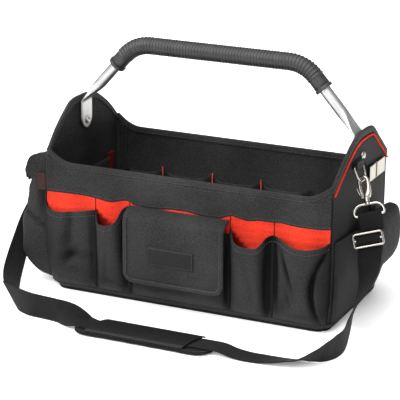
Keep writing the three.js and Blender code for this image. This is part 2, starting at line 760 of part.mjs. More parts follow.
// Right half of the handle's centre line, from the plate's foot to the middle, with each section.
function handleHalf() {
  const plateHalf = PLATE_WIDTH / 2
  const foot = PIVOT_HEIGHT - PLATE_BELOW
  const thin = PLATE_THICKNESS / 2
  const tube = TUBE_DIAMETER / 2
  const rows = [20, 48, 75].map((degrees) => {
    const angle = THREE.MathUtils.degToRad(degrees)
    return {
      at: vec(plateX, 0, foot + plateHalf * (1 - Math.cos(angle))),
      across: thin, sideways: plateHalf * Math.sin(angle), power: 4,
    }
  })
  for (const z of [foot + plateHalf, foldHeight - 6, foldHeight]) {
    rows.push({ at: vec(plateX, 0, z), across: thin, sideways: plateHalf, power: 4 })
  }
  const fold = vec(plateX, 0, foldHeight)
  const corner = vec(HANDLE_CORNER, 0, GRIP_HEIGHT)
  const leg = corner.clone().sub(fold)
  const legLength = leg.length()
  leg.normalize()
  const turn = Math.acos(clamp(leg.dot(vec(-1, 0, 0)), -1, 1))
  const reach = HANDLE_BEND * Math.tan(turn / 2)
  for (const share of [0.15, 0.4, 0.7, 1]) {
    const flat = smooth(1 - share)
    rows.push({
      at: fold.clone().addScaledVector(leg, TUBE_FLARE * share),
      across: mix(tube, thin, flat), sideways: mix(tube, plateHalf, flat), power: mix(2, 3, flat),
    })
  }
  const start = corner.clone().addScaledVector(leg, -reach)
  const centre = start.clone().add(vec(-leg.z, 0, leg.x).multiplyScalar(HANDLE_BEND))
  for (const share of shares(4)) {
    const spoke = start.clone().sub(centre).applyAxisAngle(AXIS_Y, -turn * share)
    rows.push({ at: spoke.add(centre), across: tube, sideways: tube, power: 2 })
  }
  return { rows, legLength, reach, start, leg, centre, turn }
}

const handleSide = handleHalf()
const mirrored = (p) => vec(-p.x, p.y, p.z)

function handleTube() {
  const rows = [
    ...handleSide.rows,
    ...handleSide.rows.toReversed().map((row) => ({ ...row, at: mirrored(row.at) })),
  ]
  const section = (i) => ellipse(rows[i].across, rows[i].sideways, 10, rows[i].power)
  return bored(bar(rows.map((row) => row.at), AXIS_Y, section))
}

// Rubber sleeve over the tube, with a wider collar at each end.
function handleGrip() {
  const { start, leg, centre, turn } = handleSide
  const straight = (lengths) => lengths.map((d) => start.clone().addScaledVector(leg, -d))
  const bend = (count) => shares(count).slice(1).map((t) =>
    start.clone().sub(centre).applyAxisAngle(AXIS_Y, -turn * t).add(centre))
  const whole = (side) => [...side, ...side.toReversed().map(mirrored)]
  const outerPath = whole([
    ...straight([GRIP_LEG, GRIP_LEG - COLLAR_WIDTH, GRIP_LEG - COLLAR_WIDTH - 1, 0]), ...bend(4),
  ])
  const innerPath = whole([...straight([GRIP_LEG, 0]), ...bend(4)])
  const rings = (path, radiusOf) => {
    const ways = headings(path, false)
    return path.map((p, i) => {
      const across = ways[i].clone().cross(AXIS_Y).normalize()
      return ellipse(radiusOf(i), radiusOf(i), 10).map(([a, s]) =>
        p.clone().addScaledVector(across, a).addScaledVector(AXIS_Y, s))
    })
  }
  const last = outerPath.length - 1
  const outer = rings(outerPath, (i) => (Math.min(i, last - i) < 2 ? GRIP_COLLAR : GRIP_DIAMETER) / 2)
  const inner = rings(innerPath, () => TUBE_DIAMETER / 2 + GAP + 0.2)
  return loft([...outer, ...inner.toReversed()], true)
}

add('handle_tube', handleTube(), ALUMINIUM)
add('handle_grip', handleGrip(), RUBBER)

// Rivet turned about X: domed head outside, washer against the cloth, flat head inside the plate.
function rivet(side) {
  const headBase = half + LAYER_GAP + PATCH_THICKNESS + GAP
  const washerOut = half - WALL - GAP
  const washerIn = plateFace + GAP
  const innerHead = plateFace - PLATE_THICKNESS - GAP
  const shaft = RIVET_SHAFT / 2
  const washer = WASHER_DIAMETER / 2
  const head = RIVET_HEAD / 2
  const profile = [
    [0, innerHead - 2], [shaft + 1.5, innerHead - 2], [shaft + 3, innerHead - 0.8], [shaft + 3, innerHead],
    [shaft, innerHead], [shaft, washerIn], [washer, washerIn], [washer, washerOut],
    [shaft, washerOut], [shaft, headBase], [head, headBase], [head * 0.92, headBase + RIVET_DOME * 0.45],
    [head * 0.6, headBase + RIVET_DOME * 0.85], [0, headBase + RIVET_DOME],
  ]
  const turned = new THREE.LatheGeometry(profile.map(([r, h]) => new THREE.Vector2(r, h)), 10)
  turned.rotateZ(-Math.PI / 2)
  if (side < 0) turned.rotateY(Math.PI)
  turned.translate(0, 0, PIVOT_HEIGHT)
  return fromSolid(toSolid(turned))
}

add('left_rivet', rivet(-1), STEEL)
add('right_rivet', rivet(1), STEEL)

// Strap fittings on each end: a folded tab, a U-shaped ring, a snap hook with its sprung gate and
// a swivel bow. y is the tab's place, lean the way in which the hook hangs, and bow the bow's width.
const FITTINGS = [
  { end: 'left', side: -1, y: 27, lean: vec(-0.5, -0.05, -0.86), bow: vec(0.3, 0.95, 0) },
  { end: 'right', side: 1, y: -27, lean: vec(0.378, -0.414, -0.829), bow: vec(0.889, 0.407, 0.208) },
]

const ringBarX = half + LAYER_GAP + WEBBING + LAYER_GAP + RING_WIRE / 2
const ringSpan = RING_INNER / 2 + RING_WIRE / 2

// The webbing tab, as a U in section round the ring's bar, its inner leg against the end panel.
function ringTab(fit) {
  const outer = RING_WIRE / 2 + LAYER_GAP + WEBBING
  const inner = RING_WIRE / 2 + LAYER_GAP
  const turns = shares(6).map((t) => Math.PI * (1 + t))
  const arc = (radius, angles) => angles.map((a) => [radius * Math.cos(a), radius * Math.sin(a)])
  const profile = [
    [-outer, TAB_HEIGHT], ...arc(outer, turns), [outer, TAB_HEIGHT], [inner, TAB_HEIGHT],
    ...arc(inner, turns.toReversed()), [-inner, TAB_HEIGHT],
  ]
  const shape = new THREE.Shape(profile.map(([x, z]) => new THREE.Vector2(x, z)))
  const solid = new THREE.ExtrudeGeometry(shape, { depth: TAB_WIDTH, bevelEnabled: false })
  solid.rotateX(Math.PI / 2)
  solid.translate(fit.side * ringBarX, fit.y + TAB_WIDTH / 2, RING_TOP)
  return fromSolid(toSolid(solid))
}

function ringLoop() {
  const foot = ringSpan - 4
  const outline = roundedOutline([
    [-ringSpan, 0, 2.5], [ringSpan, 0, 2.5], [foot, -RING_DROP, 11], [-foot, -RING_DROP, 11],
  ], 3)
  return wire(outline, AXIS_Y, RING_WIRE, 6, true)
}

// Snap hook in its own plane y = 0: z = 0 is the swivel's foot, and the bar hangs from the ring at
// z = HOOK_LENGTH. The gate's pin is on the open side.
const gatePin = { x: -HOOK_ARC + 1.6, z: SWIVEL_HEIGHT + 5.6 }
const hookMouth = HOOK_LENGTH - HOOK_TIP

function hookBody() {
  const arc = shares(6).map((t) => vec(HOOK_ARC * Math.cos(Math.PI * t), 0, HOOK_LENGTH + HOOK_ARC * Math.sin(Math.PI * t)))
  const path = [
    vec(1, 0, SWIVEL_HEIGHT - 1), vec(3.5, 0, SWIVEL_HEIGHT + 3), vec(HOOK_ARC, 0, SWIVEL_HEIGHT + 11),
    ...arc, vec(-HOOK_ARC, 0, hookMouth),
  ]
  const hook = wire(path, AXIS_Y, HOOK_BAR, 6)
  const barrel = new THREE.CylinderGeometry(SWIVEL_DIAMETER / 2, SWIVEL_DIAMETER / 2, SWIVEL_HEIGHT, 10)
  barrel.rotateX(Math.PI / 2)
  barrel.translate(0, 0, SWIVEL_HEIGHT / 2)
  const seat = new THREE.BoxGeometry(11, 7.6, 2.4)
  seat.translate(gatePin.x + 3.4, 0, SWIVEL_HEIGHT + 0.8)
  const ear = (side) => {
    const plate = new THREE.BoxGeometry(5, 1.2, 6)
    return plate.translate(gatePin.x, side * 3.2, SWIVEL_HEIGHT + 4)
  }
  return joined(hook, barrel, seat, ear(-1), ear(1))
}

function hookGate() {
  const hub = new THREE.CylinderGeometry(2.4, 2.4, 4.6, 10)
  hub.translate(gatePin.x, 0, gatePin.z)
  const top = hookMouth - 0.8
  const leaf = wire([
    vec(gatePin.x, 0, gatePin.z), vec(-HOOK_ARC + 0.4, 0, mix(gatePin.z, top, 0.4)), vec(-HOOK_ARC, 0, top),
  ], AXIS_Y, GATE_BAR, 6)
  const thumb = wire([
    vec(gatePin.x - 1, 0, gatePin.z), vec(gatePin.x - 4, 0, gatePin.z + 4), vec(gatePin.x - 6.5, 0, gatePin.z + 10.5),
  ], AXIS_Y, 2.4, 6)
  return joined(hub, leaf, thumb)
}

function swivelBow() {
  const reach = BOW_INNER / 2 + BOW_WIRE / 2
  const outline = roundedOutline([
    [-reach, -BOW_HEIGHT, 3.5], [reach, -BOW_HEIGHT, 3.5], [reach, -3, 13], [-reach, -3, 13],
  ], 3)
  const loop = wire(outline, AXIS_Y, BOW_WIRE, 6, true)
  const boss = new THREE.CylinderGeometry(3.6, 4.4, 4, 10)
  boss.rotateX(Math.PI / 2)
  boss.translate(0, 0, -2 - GAP)
  return joined(loop, boss)
}

// A wanted direction turned square to another one.
function squareTo(wanted, axis) {
  const unit = axis.clone().normalize()
  return wanted.clone().addScaledVector(unit, -wanted.dot(unit)).normalize()
}

// A frame whose z axis is given and whose x axis is as near as can be to the wanted one.
function framed(origin, up, wanted) {
  const z = up.clone().normalize()
  const x = squareTo(wanted, z)
  const frame = new THREE.Group()
  frame.position.copy(origin)
  frame.quaternion.setFromRotationMatrix(new THREE.Matrix4().makeBasis(x, z.clone().cross(x), z))
  group.add(frame)
  return frame
}

function chainOf(fit) {
  const tilt = THREE.MathUtils.degToRad(RING_TILT)
  const ringTop = vec(fit.side * ringBarX, fit.y, RING_TOP)
  const ringUp = vec(-fit.side * Math.sin(tilt), 0, Math.cos(tilt))
  const lean = fit.lean.clone().normalize()
  const ringFoot = ringTop.clone().addScaledVector(ringUp, -RING_DROP)
  const hang = HOOK_ARC - (HOOK_BAR + RING_WIRE) / 2 - LAYER_GAP - GAP
  const hookFoot = ringFoot.clone().addScaledVector(lean, HOOK_LENGTH + hang)
  const out = vec(fit.side, 0, 0)
  const bowWay = squareTo(fit.bow, lean)
  const bowFoot = hookFoot.clone().addScaledVector(lean, BOW_HEIGHT)
  return { ringTop, ringUp, lean, hookFoot, out, bowWay, bowFoot }
}

const chains = {}
for (const fit of FITTINGS) {
  const chain = chainOf(fit)
  chains[fit.end] = chain
  add(`${fit.end}_ring_tab`, ringTab(fit), WEBBING_BLACK)
  add(`${fit.end}_ring`, ringLoop(), STEEL, framed(chain.ringTop, chain.ringUp, vec(0, 1, 0)))
  const hook = framed(chain.hookFoot, chain.lean.clone().negate(), chain.out)
  add(`${fit.end}_hook`, hookBody(), STEEL, hook)
  add(`${fit.end}_hook_gate`, hookGate(), STEEL, hook)
  add(`${fit.end}_bow`, swivelBow(), STEEL, framed(chain.hookFoot, chain.lean.clone().negate(), chain.bowWay))
}

// Steel clip for a tape measure, standing off the right end panel on its own webbing.
function tapeClip() {
  const outer = half + CLIP.stand
  const plate = (y, width) => {
    const box = new THREE.BoxGeometry(CLIP.thickness, width, CLIP.top - CLIP.bottom)
    return box.translate(outer - CLIP.thickness / 2, y, (CLIP.top + CLIP.bottom) / 2)
  }
  const side = (CLIP.width - CLIP.slot) / 2
  const rail = (z) => {
    const box = new THREE.BoxGeometry(CLIP.thickness, CLIP.width, 4)
    return box.translate(outer - CLIP.thickness / 2, CLIP.y, z)
  }
  const reach = CLIP.stand - LAYER_GAP - WEBBING - 2 * GAP
  const foot = new THREE.BoxGeometry(reach, CLIP.width * 0.5, CLIP.thickness)
  foot.translate(outer - reach / 2, CLIP.y, CLIP.bottom + CLIP.thickness / 2)
  return joined(
    plate(CLIP.y - (CLIP.slot + side) / 2, side), plate(CLIP.y + (CLIP.slot + side) / 2, side),
    rail(CLIP.top - 2), rail(CLIP.bottom + 2), foot,
  )
}

add('tape_clip', tapeClip(), STEEL)

const clipTop = PATCH_BOTTOM_BACK - GAP - 0.2
add('clip_webbing', sheet(shares(3), shares(3), (u, v) => {
  const y = CLIP_WEBBING.y + (u - 0.5) * CLIP_WEBBING.width
  const z = mix(CLIP_WEBBING.bottom, clipTop, v)
  return onEnd(1, y, z, LAYER_GAP + WEBBING)
}, WEBBING, vec(1, 0, 0)), WEBBING_BLACK)

// Flat webbing along rows of { at, across, skew }: its middle, its width direction, and how far its
// two edges run ahead and behind where it is folded on the slant. from and to are rows of the list.
function webbing(rows, steps, from = 0, to = rows.length - 1) {
  const middle = new THREE.CatmullRomCurve3(rows.map((row) => row.at), false, 'centripetal')
  const spans = rows.length - 1
  const rings = shares(Math.round((to - from) * steps)).map((share) => {
    const place = mix(from, to, share)
    const row = Math.min(Math.floor(place), spans - 1)
    const t = place - row
    const along = place / spans
    const way = middle.getPoint(Math.min(along + 0.005, 1)).sub(middle.getPoint(Math.max(along - 0.005, 0))).normalize()
    const wide = rows[row].across.clone().normalize().lerp(rows[row + 1].across.clone().normalize(), t)
    wide.addScaledVector(way, -wide.dot(way)).normalize()
    const skew = mix(rows[row].skew ?? 0, rows[row + 1].skew ?? 0, t)
    const thick = way.clone().cross(wide)
    const ring = [[1, 1], [1, -1], [-1, -1], [-1, 1]].map(([w, n]) => middle.getPoint(along)
      .addScaledVector(wide, (w * WEBBING_WIDTH) / 2)
      .addScaledVector(way, w * skew)
      .addScaledVector(thick, (n * WEBBING) / 2))
    const lift = Math.max(GAP - Math.min(...ring.map((p) => p.z)), 0)
    return ring.map((p) => p.setZ(p.z + lift))
  })
  return loft(rings)
}

// Strap adjuster on the right: a wire frame with a middle bar, below the bow.
const right = chains.right
const buckleAt = vec(286, -58, 145)
const buckleUp = squareTo(right.bowFoot.clone().sub(buckleAt), right.bowWay)
const buckleFrame = framed(buckleAt, buckleUp, right.bowWay)

function strapBuckle() {
  const reach = BUCKLE_INNER / 2 + BUCKLE_WIRE / 2
  const rise = BUCKLE_HEIGHT / 2 - BUCKLE_WIRE / 2
  const outline = roundedOutline([
    [-reach, -rise, 3.5], [reach, -rise, 3.5], [reach, rise, 3.5], [-reach, rise, 3.5],
  ], 3)
  const frame = wire(outline, AXIS_Y, BUCKLE_WIRE, 6, true)
  const middle = wire([vec(-reach, 0, 0), vec(reach, 0, 0)], AXIS_Y, BUCKLE_WIRE * 0.8, 6)
  return joined(frame, middle)
}

add('strap_buckle', strapBuckle(), STEEL, buckleFrame)

// Webbing over a bow's foot: up its face, over the bar and down behind, as rows for webbing().
// up points back along the strap to the bow. front and back are how far out each leg ends from the
// bow's plane, and how far down.
function strapLoop(chain, up, front, back) {
  const rise = squareTo(up, chain.bowWay)
  const face = chain.bowWay.clone().cross(rise)
  const turn = BOW_WIRE / 2 + LAYER_GAP + WEBBING / 2
  const place = (out, high) => chain.bowFoot.clone().addScaledVector(face, out).addScaledVector(rise, high)
  const over = [30, 60, 90, 120, 150].map((degrees) => {
    const angle = THREE.MathUtils.degToRad(degrees)
    return place(turn * Math.cos(angle), turn * Math.sin(angle))
  })
  return [place(front.out, -front.down), place(turn, 0), ...over, place(-turn, 0), place(-back.out, -back.down)]
    .map((at) => ({ at, across: chain.bowWay }))
}

// The webbing's way through the adjuster, behind its two outer bars and over the middle one.
const behind = BUCKLE_WIRE / 2 + LAYER_GAP + WEBBING / 2 + 0.9
const inFront = BUCKLE_WIRE * 0.4 + LAYER_GAP + WEBBING / 2 + 0.7
const barRise = BUCKLE_HEIGHT / 2 - BUCKLE_WIRE / 2
const bowDrop = right.bowFoot.clone().sub(buckleAt).dot(buckleUp) - barRise
add('strap_right_loop', webbing(strapLoop(
  right, buckleUp, { out: -behind, down: bowDrop - 1.1 }, { out: behind + WEBBING + 2, down: bowDrop - 2 },
), 1), WEBBING_BLACK)
const buckleBack = buckleUp.clone().cross(right.bowWay).normalize()
const throughBuckle = [
  [barRise - 0.6, behind], [barRise * 0.5, 0.2], [0, -inFront], [barRise * -0.5, 0.2],
  [-barRise, behind], [-barRise - 4, behind],
].map(([high, back]) => ({
  at: buckleAt.clone().addScaledVector(buckleUp, high).addScaledVector(buckleBack, back),
  across: right.bowWay,
}))

// The rest of the strap's route, chosen by hand. From the adjuster it hangs past the right end
// pocket, runs round the front right corner on its edge, flat along the floor and over the pad, on
// its edge again to a slanted fold at the left, and rises to the left bow.
const STRAP_RIGHT = [
  ...throughBuckle,
  { at: vec(292.5, -66, 112), across: vec(0.95, 0.15, 0.22) },
  { at: vec(296, -79, 95), across: vec(0.9, -0.25, 0.28) },
  { at: vec(296, -93, 79), across: vec(0.74, -0.55, 0.36) },
  { at: vec(294, -106, 66), across: vec(0.58, -0.72, 0.38) },
  { at: vec(291, -118, 54), across: vec(0.4, -0.82, 0.42) },
  { at: vec(290, -132, 41), across: vec(0.25, -0.8, 0.55) },
  { at: vec(290.5, -147, 29), across: vec(0.12, -0.6, 0.8) },
  { at: vec(293, -164, 21.5), across: vec(0.05, -0.3, 0.95) },
  { at: vec(295, -184, 19.8), across: vec(0, -0.05, 1) },
  { at: vec(293, -207, 19.8), across: vec(0, 0, 1) },
  { at: vec(287, -230, 19.5), across: vec(0.2, -0.11, 0.96) },
  { at: vec(277, -244, 16.5), across: vec(0.3, -0.5, 0.8) },
  { at: vec(264, -252, 12), across: vec(0.2, -0.8, 0.56) },
  { at: vec(250, -256, 8.2), across: vec(0.2, -0.9, 0.33) },
  { at: vec(234, -258.5, 6.2), across: vec(0.15, -0.95, 0.26) },
  { at: vec(215, -260, 3.8), across: vec(0.05, -0.99, 0.13) },
  { at: vec(192, -260.5, 1.8), across: vec(0, -1, 0.02) },
  { at: vec(168, -261, 1.7), across: vec(0, -1, 0) },
  { at: vec(147, -261, 4), across: vec(0, -1, 0) },
  { at: vec(128, -261, 8.6), across: vec(0, -1, 0) },
  { at: vec(110, -262, 9.9), across: vec(0, -1, 0) },
  { at: vec(60, -264, 9.9), across: vec(0, -1, 0) },
]
const STRAP_LEFT = [
  { at: vec(-50, -265, 9.9), across: vec(0, -1, 0) },
  { at: vec(-92, -264.5, 9.9), across: vec(0, -1, 0) },
  { at: vec(-106, -264, 11.6), across: vec(0, -1, -0.1) },
  { at: vec(-121, -263, 15.5), across: vec(0, -0.88, -0.45) },
  { at: vec(-138, -262.5, 18.6), across: vec(0, -0.5, -0.86) },
  { at: vec(-160, -258.5, 19.8), across: vec(0, -0.12, -1) },
  { at: vec(-188, -255, 19.8), across: vec(0, -0.1, -1) },
  { at: vec(-212, -252.5, 19.8), across: vec(0, -0.16, -1) },
  { at: vec(-234, -245, 19.8), across: vec(0, -0.1, -1), skew: -8 },
  { at: vec(-261, -232, 19.8), across: vec(0, 0, -1), skew: -23 },
]
const STRAP_RISE = [
  { at: vec(-263, -228.3, 20.3), across: vec(0.62, -0.1, -0.78), skew: -16 },
  { at: vec(-280, -199, 23), across: vec(0.6, 0.3, -0.74), skew: -6 },
  { at: vec(-299, -163, 27), across: vec(0.6, 0.4, -0.7) },
  { at: vec(-314, -126, 36), across: vec(0.57, 0.45, -0.7) },
  { at: vec(-326, -84, 57), across: vec(0.45, 0.5, -0.72) },
  { at: vec(-333, -44, 84), across: vec(0.35, 0.62, -0.68) },
  { at: vec(-331, -6, 113), across: vec(0.3, 0.8, -0.5) },
  { at: vec(-320, 18, 143), across: vec(0.3, 0.93, -0.15) },
]

add('strap_right', webbing(STRAP_RIGHT, 1.6), WEBBING_BLACK)
add('strap_left', webbing(STRAP_LEFT, 2), WEBBING_BLACK)
add('strap_left_rise', webbing(STRAP_RISE, 2), WEBBING_BLACK)

const left = chains.left
const riseEnd = STRAP_RISE.at(-1).at
const leftDrop = left.bowFoot.distanceTo(riseEnd) - 8
const leftTurn = BOW_WIRE / 2 + LAYER_GAP + WEBBING / 2
add('strap_left_loop', webbing(strapLoop(
  left, left.bowFoot.clone().sub(riseEnd), { out: leftTurn, down: leftDrop * 0.6 }, { out: leftTurn, down: leftDrop },
), 1), WEBBING_BLACK)

// Shoulder pad: a padded strip with round ends, and the sleeve that holds the strap on it.
const padTop = PAD.rest + PAD.thickness

function padBase() {
  const steps = [[0.86, 0], [1, 0.3], [1, 0.75], [0.9, 1]]
  const outline = shares(24).slice(0, 24).map((t) => {
    const angle = 2 * Math.PI * t
    const c = Math.cos(angle)
    const s = Math.sin(angle)
    const reachX = PAD.length / 2 - PAD.width / 2
    return { x: Math.sign(c) * Math.min(Math.abs(c) * 4, 1) * reachX, c, s }
  })
  return loft(steps.map(([grow, rise]) => outline.map(({ x, c, s }) => vec(
    PAD.x + x + (c * PAD.width * grow) / 2,
    PAD.y + (s * PAD.width * grow) / 2,
    PAD.rest + PAD.thickness * rise,
  ))))
}

add('pad_base', padBase(), BLACK)

add('pad_sleeve', sheet(shares(4), [0, 0.08, 0.2, 0.35, 0.65, 0.8, 0.92, 1], (u, v) => {
  const slant = (v - 0.5) * 14
  const x = PAD.x + (u - 0.5) * SLEEVE.length + slant
  const y = PAD.y + (v - 0.5) * PAD.width * 0.9
  const rise = SLEEVE.arch * Math.sin(Math.PI * v) ** 0.5
  return vec(x, y, padTop + LAYER_GAP + SLEEVE.cloth + rise)
}, SLEEVE.cloth, vec(0, 0, 1)), BLACK)

// Inside: a low strip of pockets along the back wall, sewn down between them, and one on the left end.
const insideFace = WALL + LAYER_GAP + INSIDE_CLOTH
const insideFoot = shellBottom + 17
const insideVs = [0, 0.12, 0.35, 1]
const insideUs = (slope) => [0, slope, 1 - slope, 1]

// The strip stands off the wall between its seams; slope is the share of its width at each seam.
function insideStand(u, v, slope) {
  return insideFace + INSIDE_STAND * smooth(v / 0.35) * smooth(Math.min(u, 1 - u) / slope)
}

BACK_SEAMS.slice(1).forEach((end, i) => {
  const from = BACK_SEAMS[i] * half + GAP / 2
  const to = end * half - GAP / 2
  add(`back_inside_pocket_${i + 1}`, sheet(insideUs(0.2), insideVs, (u, v) => {
    const mouth = BACK_MOUTH + BACK_MOUTH_RISE * Math.abs(2 * u - 1) ** 4
    return vec(mix(from, to, u), deep - insideStand(u, v, 0.2), mix(insideFoot, mouth, v))
  }, INSIDE_CLOTH, vec(0, -1, 0)), BLACK)
})

add('end_inside_pocket', sheet(insideUs(0.12), insideVs, (u, v) => {
  const y = mix(-0.8 * deep, 0.72 * deep, u)
  return vec(insideStand(u, v, 0.12) - half, y, mix(insideFoot, 178, v))
}, INSIDE_CLOTH, vec(1, 0, 0)), BLACK)

export default group
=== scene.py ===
import json
import math

import bpy
import numpy as np
from mathutils import Matrix, Vector


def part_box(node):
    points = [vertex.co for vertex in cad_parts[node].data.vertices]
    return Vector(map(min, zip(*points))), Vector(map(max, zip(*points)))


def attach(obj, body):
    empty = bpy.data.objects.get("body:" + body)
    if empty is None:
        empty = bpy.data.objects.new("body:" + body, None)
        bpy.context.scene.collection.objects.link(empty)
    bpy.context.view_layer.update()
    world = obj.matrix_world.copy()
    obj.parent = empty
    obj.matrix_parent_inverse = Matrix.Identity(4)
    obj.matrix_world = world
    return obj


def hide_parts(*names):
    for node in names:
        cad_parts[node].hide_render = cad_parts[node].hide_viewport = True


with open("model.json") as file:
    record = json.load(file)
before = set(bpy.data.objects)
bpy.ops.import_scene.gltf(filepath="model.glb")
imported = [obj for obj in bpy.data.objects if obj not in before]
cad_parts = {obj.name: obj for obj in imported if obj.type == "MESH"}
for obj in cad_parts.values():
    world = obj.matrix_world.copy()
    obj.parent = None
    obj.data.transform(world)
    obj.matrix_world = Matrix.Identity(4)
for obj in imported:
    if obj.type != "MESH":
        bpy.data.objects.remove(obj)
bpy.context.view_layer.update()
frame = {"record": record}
scene = bpy.context.scene

# View, floor and light
# The camera stands to the right of the bag's front and a little above it. The floor is plain and
# pale. A broad window in front and above lights the bag, with soft boxes to its left, top and right.
RIGHT_WAY = (0.90807553, 0.41872738, 0.00813785)
UP_WAY = (-0.13437307, 0.27289514, 0.95261331)
BACK_WAY = (0.39666449, -0.86613834, 0.30407508)
EYE = (1.18387, -2.65228, 1.07958)
view = bpy.data.objects.new("view", bpy.data.cameras.new("view"))
view.data.sensor_width = 36
view.data.lens = 165.81
view.data.clip_start, view.data.clip_end = 0.1, 40
view.matrix_world = Matrix([*zip(RIGHT_WAY, UP_WAY, BACK_WAY, EYE), (0, 0, 0, 1)])
scene.collection.objects.link(view)
scene.camera = view
scene.view_settings.view_transform = "Standard"

world = bpy.data.worlds.new("studio")
world.use_nodes = True
backdrop = world.node_tree.nodes["Background"].inputs
backdrop["Color"].default_value = (1, 1, 1, 1)
backdrop["Strength"].default_value = 0.36
scene.world = world


def lamp(name, kind, strength, way, place=(0, 0, 0)):
    """A light at a place that shines along a way."""
    made = bpy.data.objects.new(name, bpy.data.lights.new(name, kind))
    made.data.energy = strength
    made.location = place
    made.rotation_euler = Vector(way).to_track_quat("-Z", "Y").to_euler()
    scene.collection.objects.link(made)
    return made.data


lamp("tall_window", "SUN", 5.6, (0.16, 0.55, -0.8)).angle = math.radians(80)
for name, place, aim, size, watts in (
    ("key_box", (-1.5, -1.6, 1.6), (0, 0, 0.15), 0.7, 16),
    ("top_box", (0.2, 0.5, 2.4), (0, 0, 0.2), 1.2, 9),
    ("side_box", (2.3, -0.9, 1.5), (0.2, 0, 0.15), 0.5, 3),
):
    soft = lamp(name, "AREA", watts, Vector(aim) - Vector(place), place)
    soft.shape, soft.size = "DISK", size


def plain_look(name, values):
    """A new material with these values on its shader, its nodes and the shader itself."""
    look = bpy.data.materials.new(name)
    look.use_nodes = True
    shader = look.node_tree.nodes["Principled BSDF"]
    for label, value in values.items():
        shader.inputs[label].default_value = value
    return look, look.node_tree, shader.inputs


FLOOR_REACH = 9
floor_look, _, _ = plain_look("pale_floor", {
    "Base Color": (0.93, 0.93, 0.93, 1), "Roughness": 0.7,
    "Emission Color": (1, 1, 1, 1), "Emission Strength": 0.22,
})
floor_mesh = bpy.data.meshes.new("floor")
floor_corners = [(x * FLOOR_REACH, y * FLOOR_REACH, 0) for x, y in ((-1, -1), (1, -1), (1, 1), (-1, 1))]
floor_mesh.from_pydata(floor_corners, [], [(0, 1, 2, 3)])
floor_mesh.materials.append(floor_look)
floor = bpy.data.objects.new("floor", floor_mesh)
scene.collection.objects.link(floor)

# Coated black cloth
# The whole bag is cut from coarse coated polyester. Its threads, and the dust and soft creases left
# by use, are one effect each, shared by every cloth, webbing and lining below.
CLOTH_GLOSS = 0.07
DUST_SIZE = 9.0
# how dark painted shade makes folds, as a share of the cloth's low colour
FOLD_SHADE_LEVEL = 0.25


def effect(name, inputs, outputs):
    """A new group of nodes, with its inputs and outputs."""
    tree = bpy.data.node_groups.new(name, "ShaderNodeTree")
    for label, kind, value in inputs:
        socket = tree.interface.new_socket(label, in_out="INPUT", socket_type=kind)
        if value is not None:
            socket.default_value = value
    for label in outputs:
        tree.interface.new_socket(label, in_out="OUTPUT", socket_type="NodeSocketFloat")
    return tree, tree.nodes.new("NodeGroupInput").outputs, tree.nodes.new("NodeGroupOutput").inputs


def use_effect(tree, group, place, values):
    """The outputs of an effect that is set into a look."""
    node = tree.nodes.new("ShaderNodeGroup")
    node.node_tree = group
    for label, value in values.items():
        node.inputs[label].default_value = value
    tree.links.new(place, node.inputs["Place"])
    return node.outputs


def calc(tree, operation, *values):
    """One sum in a tree, of numbers and of other nodes' outputs."""
    node = tree.nodes.new("ShaderNodeMath")
    node.operation = operation
    for socket, value in zip(node.inputs, values):
        if isinstance(value, bpy.types.NodeSocket):
            tree.links.new(value, socket)
        else:
            socket.default_value = value
    return node.outputs[0]


def scaled(tree, value, by, plus):
    """A value times a second, plus a third."""
    return calc(tree, "MULTIPLY_ADD", value, by, plus)


def noise(tree, place, scale, detail=3.0, rough=0.55):
    """A soft random mottle."""
    node = tree.nodes.new("ShaderNodeTexNoise")
    tree.links.new(place, node.inputs["Vector"])
    node.inputs["Scale"].default_value = scale
    node.inputs["Detail"].default_value = detail
    node.inputs["Roughness"].default_value = rough
    return node.outputs[0]


def mixed(tree, low, high, share):
    """A colour between two, of which the first may come from another node."""
    node = tree.nodes.new("ShaderNodeMix")
    node.data_type = "RGBA"
    if isinstance(low, bpy.types.NodeSocket):
        tree.links.new(low, node.inputs["A"])
    else:
        node.inputs["A"].default_value = (*low, 1)
    node.inputs["B"].default_value = (*high, 1)
    tree.links.new(share, node.inputs["Factor"])
    return node.outputs["Result"]


def bumped(tree, height, distance, strength=1.0, under=None):
    """Fine relief in metres, over another relief where one is given."""
    node = tree.nodes.new("ShaderNodeBump")
    node.inputs["Distance"].default_value = distance
    node.inputs["Strength"].default_value = strength
    tree.links.new(height, node.inputs["Height"])
    if under is not None:
        tree.links.new(under, node.inputs["Normal"])
    return node.outputs["Normal"]


threads, given, sent = effect("woven_threads", [
    ("Place", "NodeSocketVector", None),
    ("Across", "NodeSocketFloat", 0.0011),
    ("Along", "NodeSocketFloat", 0.0011),
], ["Height", "Shade"])
split = threads.nodes.new("ShaderNodeSeparateXYZ")
threads.links.new(given["Place"], split.inputs[0])
waves = []
for axis, pitch in ((0, "Across"), (1, "Along")):
    turns = calc(threads, "MULTIPLY", split.outputs[axis], 2 * math.pi)
    waves.append(calc(threads, "SINE", calc(threads, "DIVIDE", turns, given[pitch])))
crossing = scaled(threads, calc(threads, "MULTIPLY", *waves), 0.5, 0.5)
slub = noise(threads, given["Place"], 520, 2.0)
threads.links.new(scaled(threads, slub, 0.8, crossing), sent["Height"])
threads.links.new(scaled(threads, crossing, 0.4, scaled(threads, slub, 2.4, -0.7)), sent["Shade"])

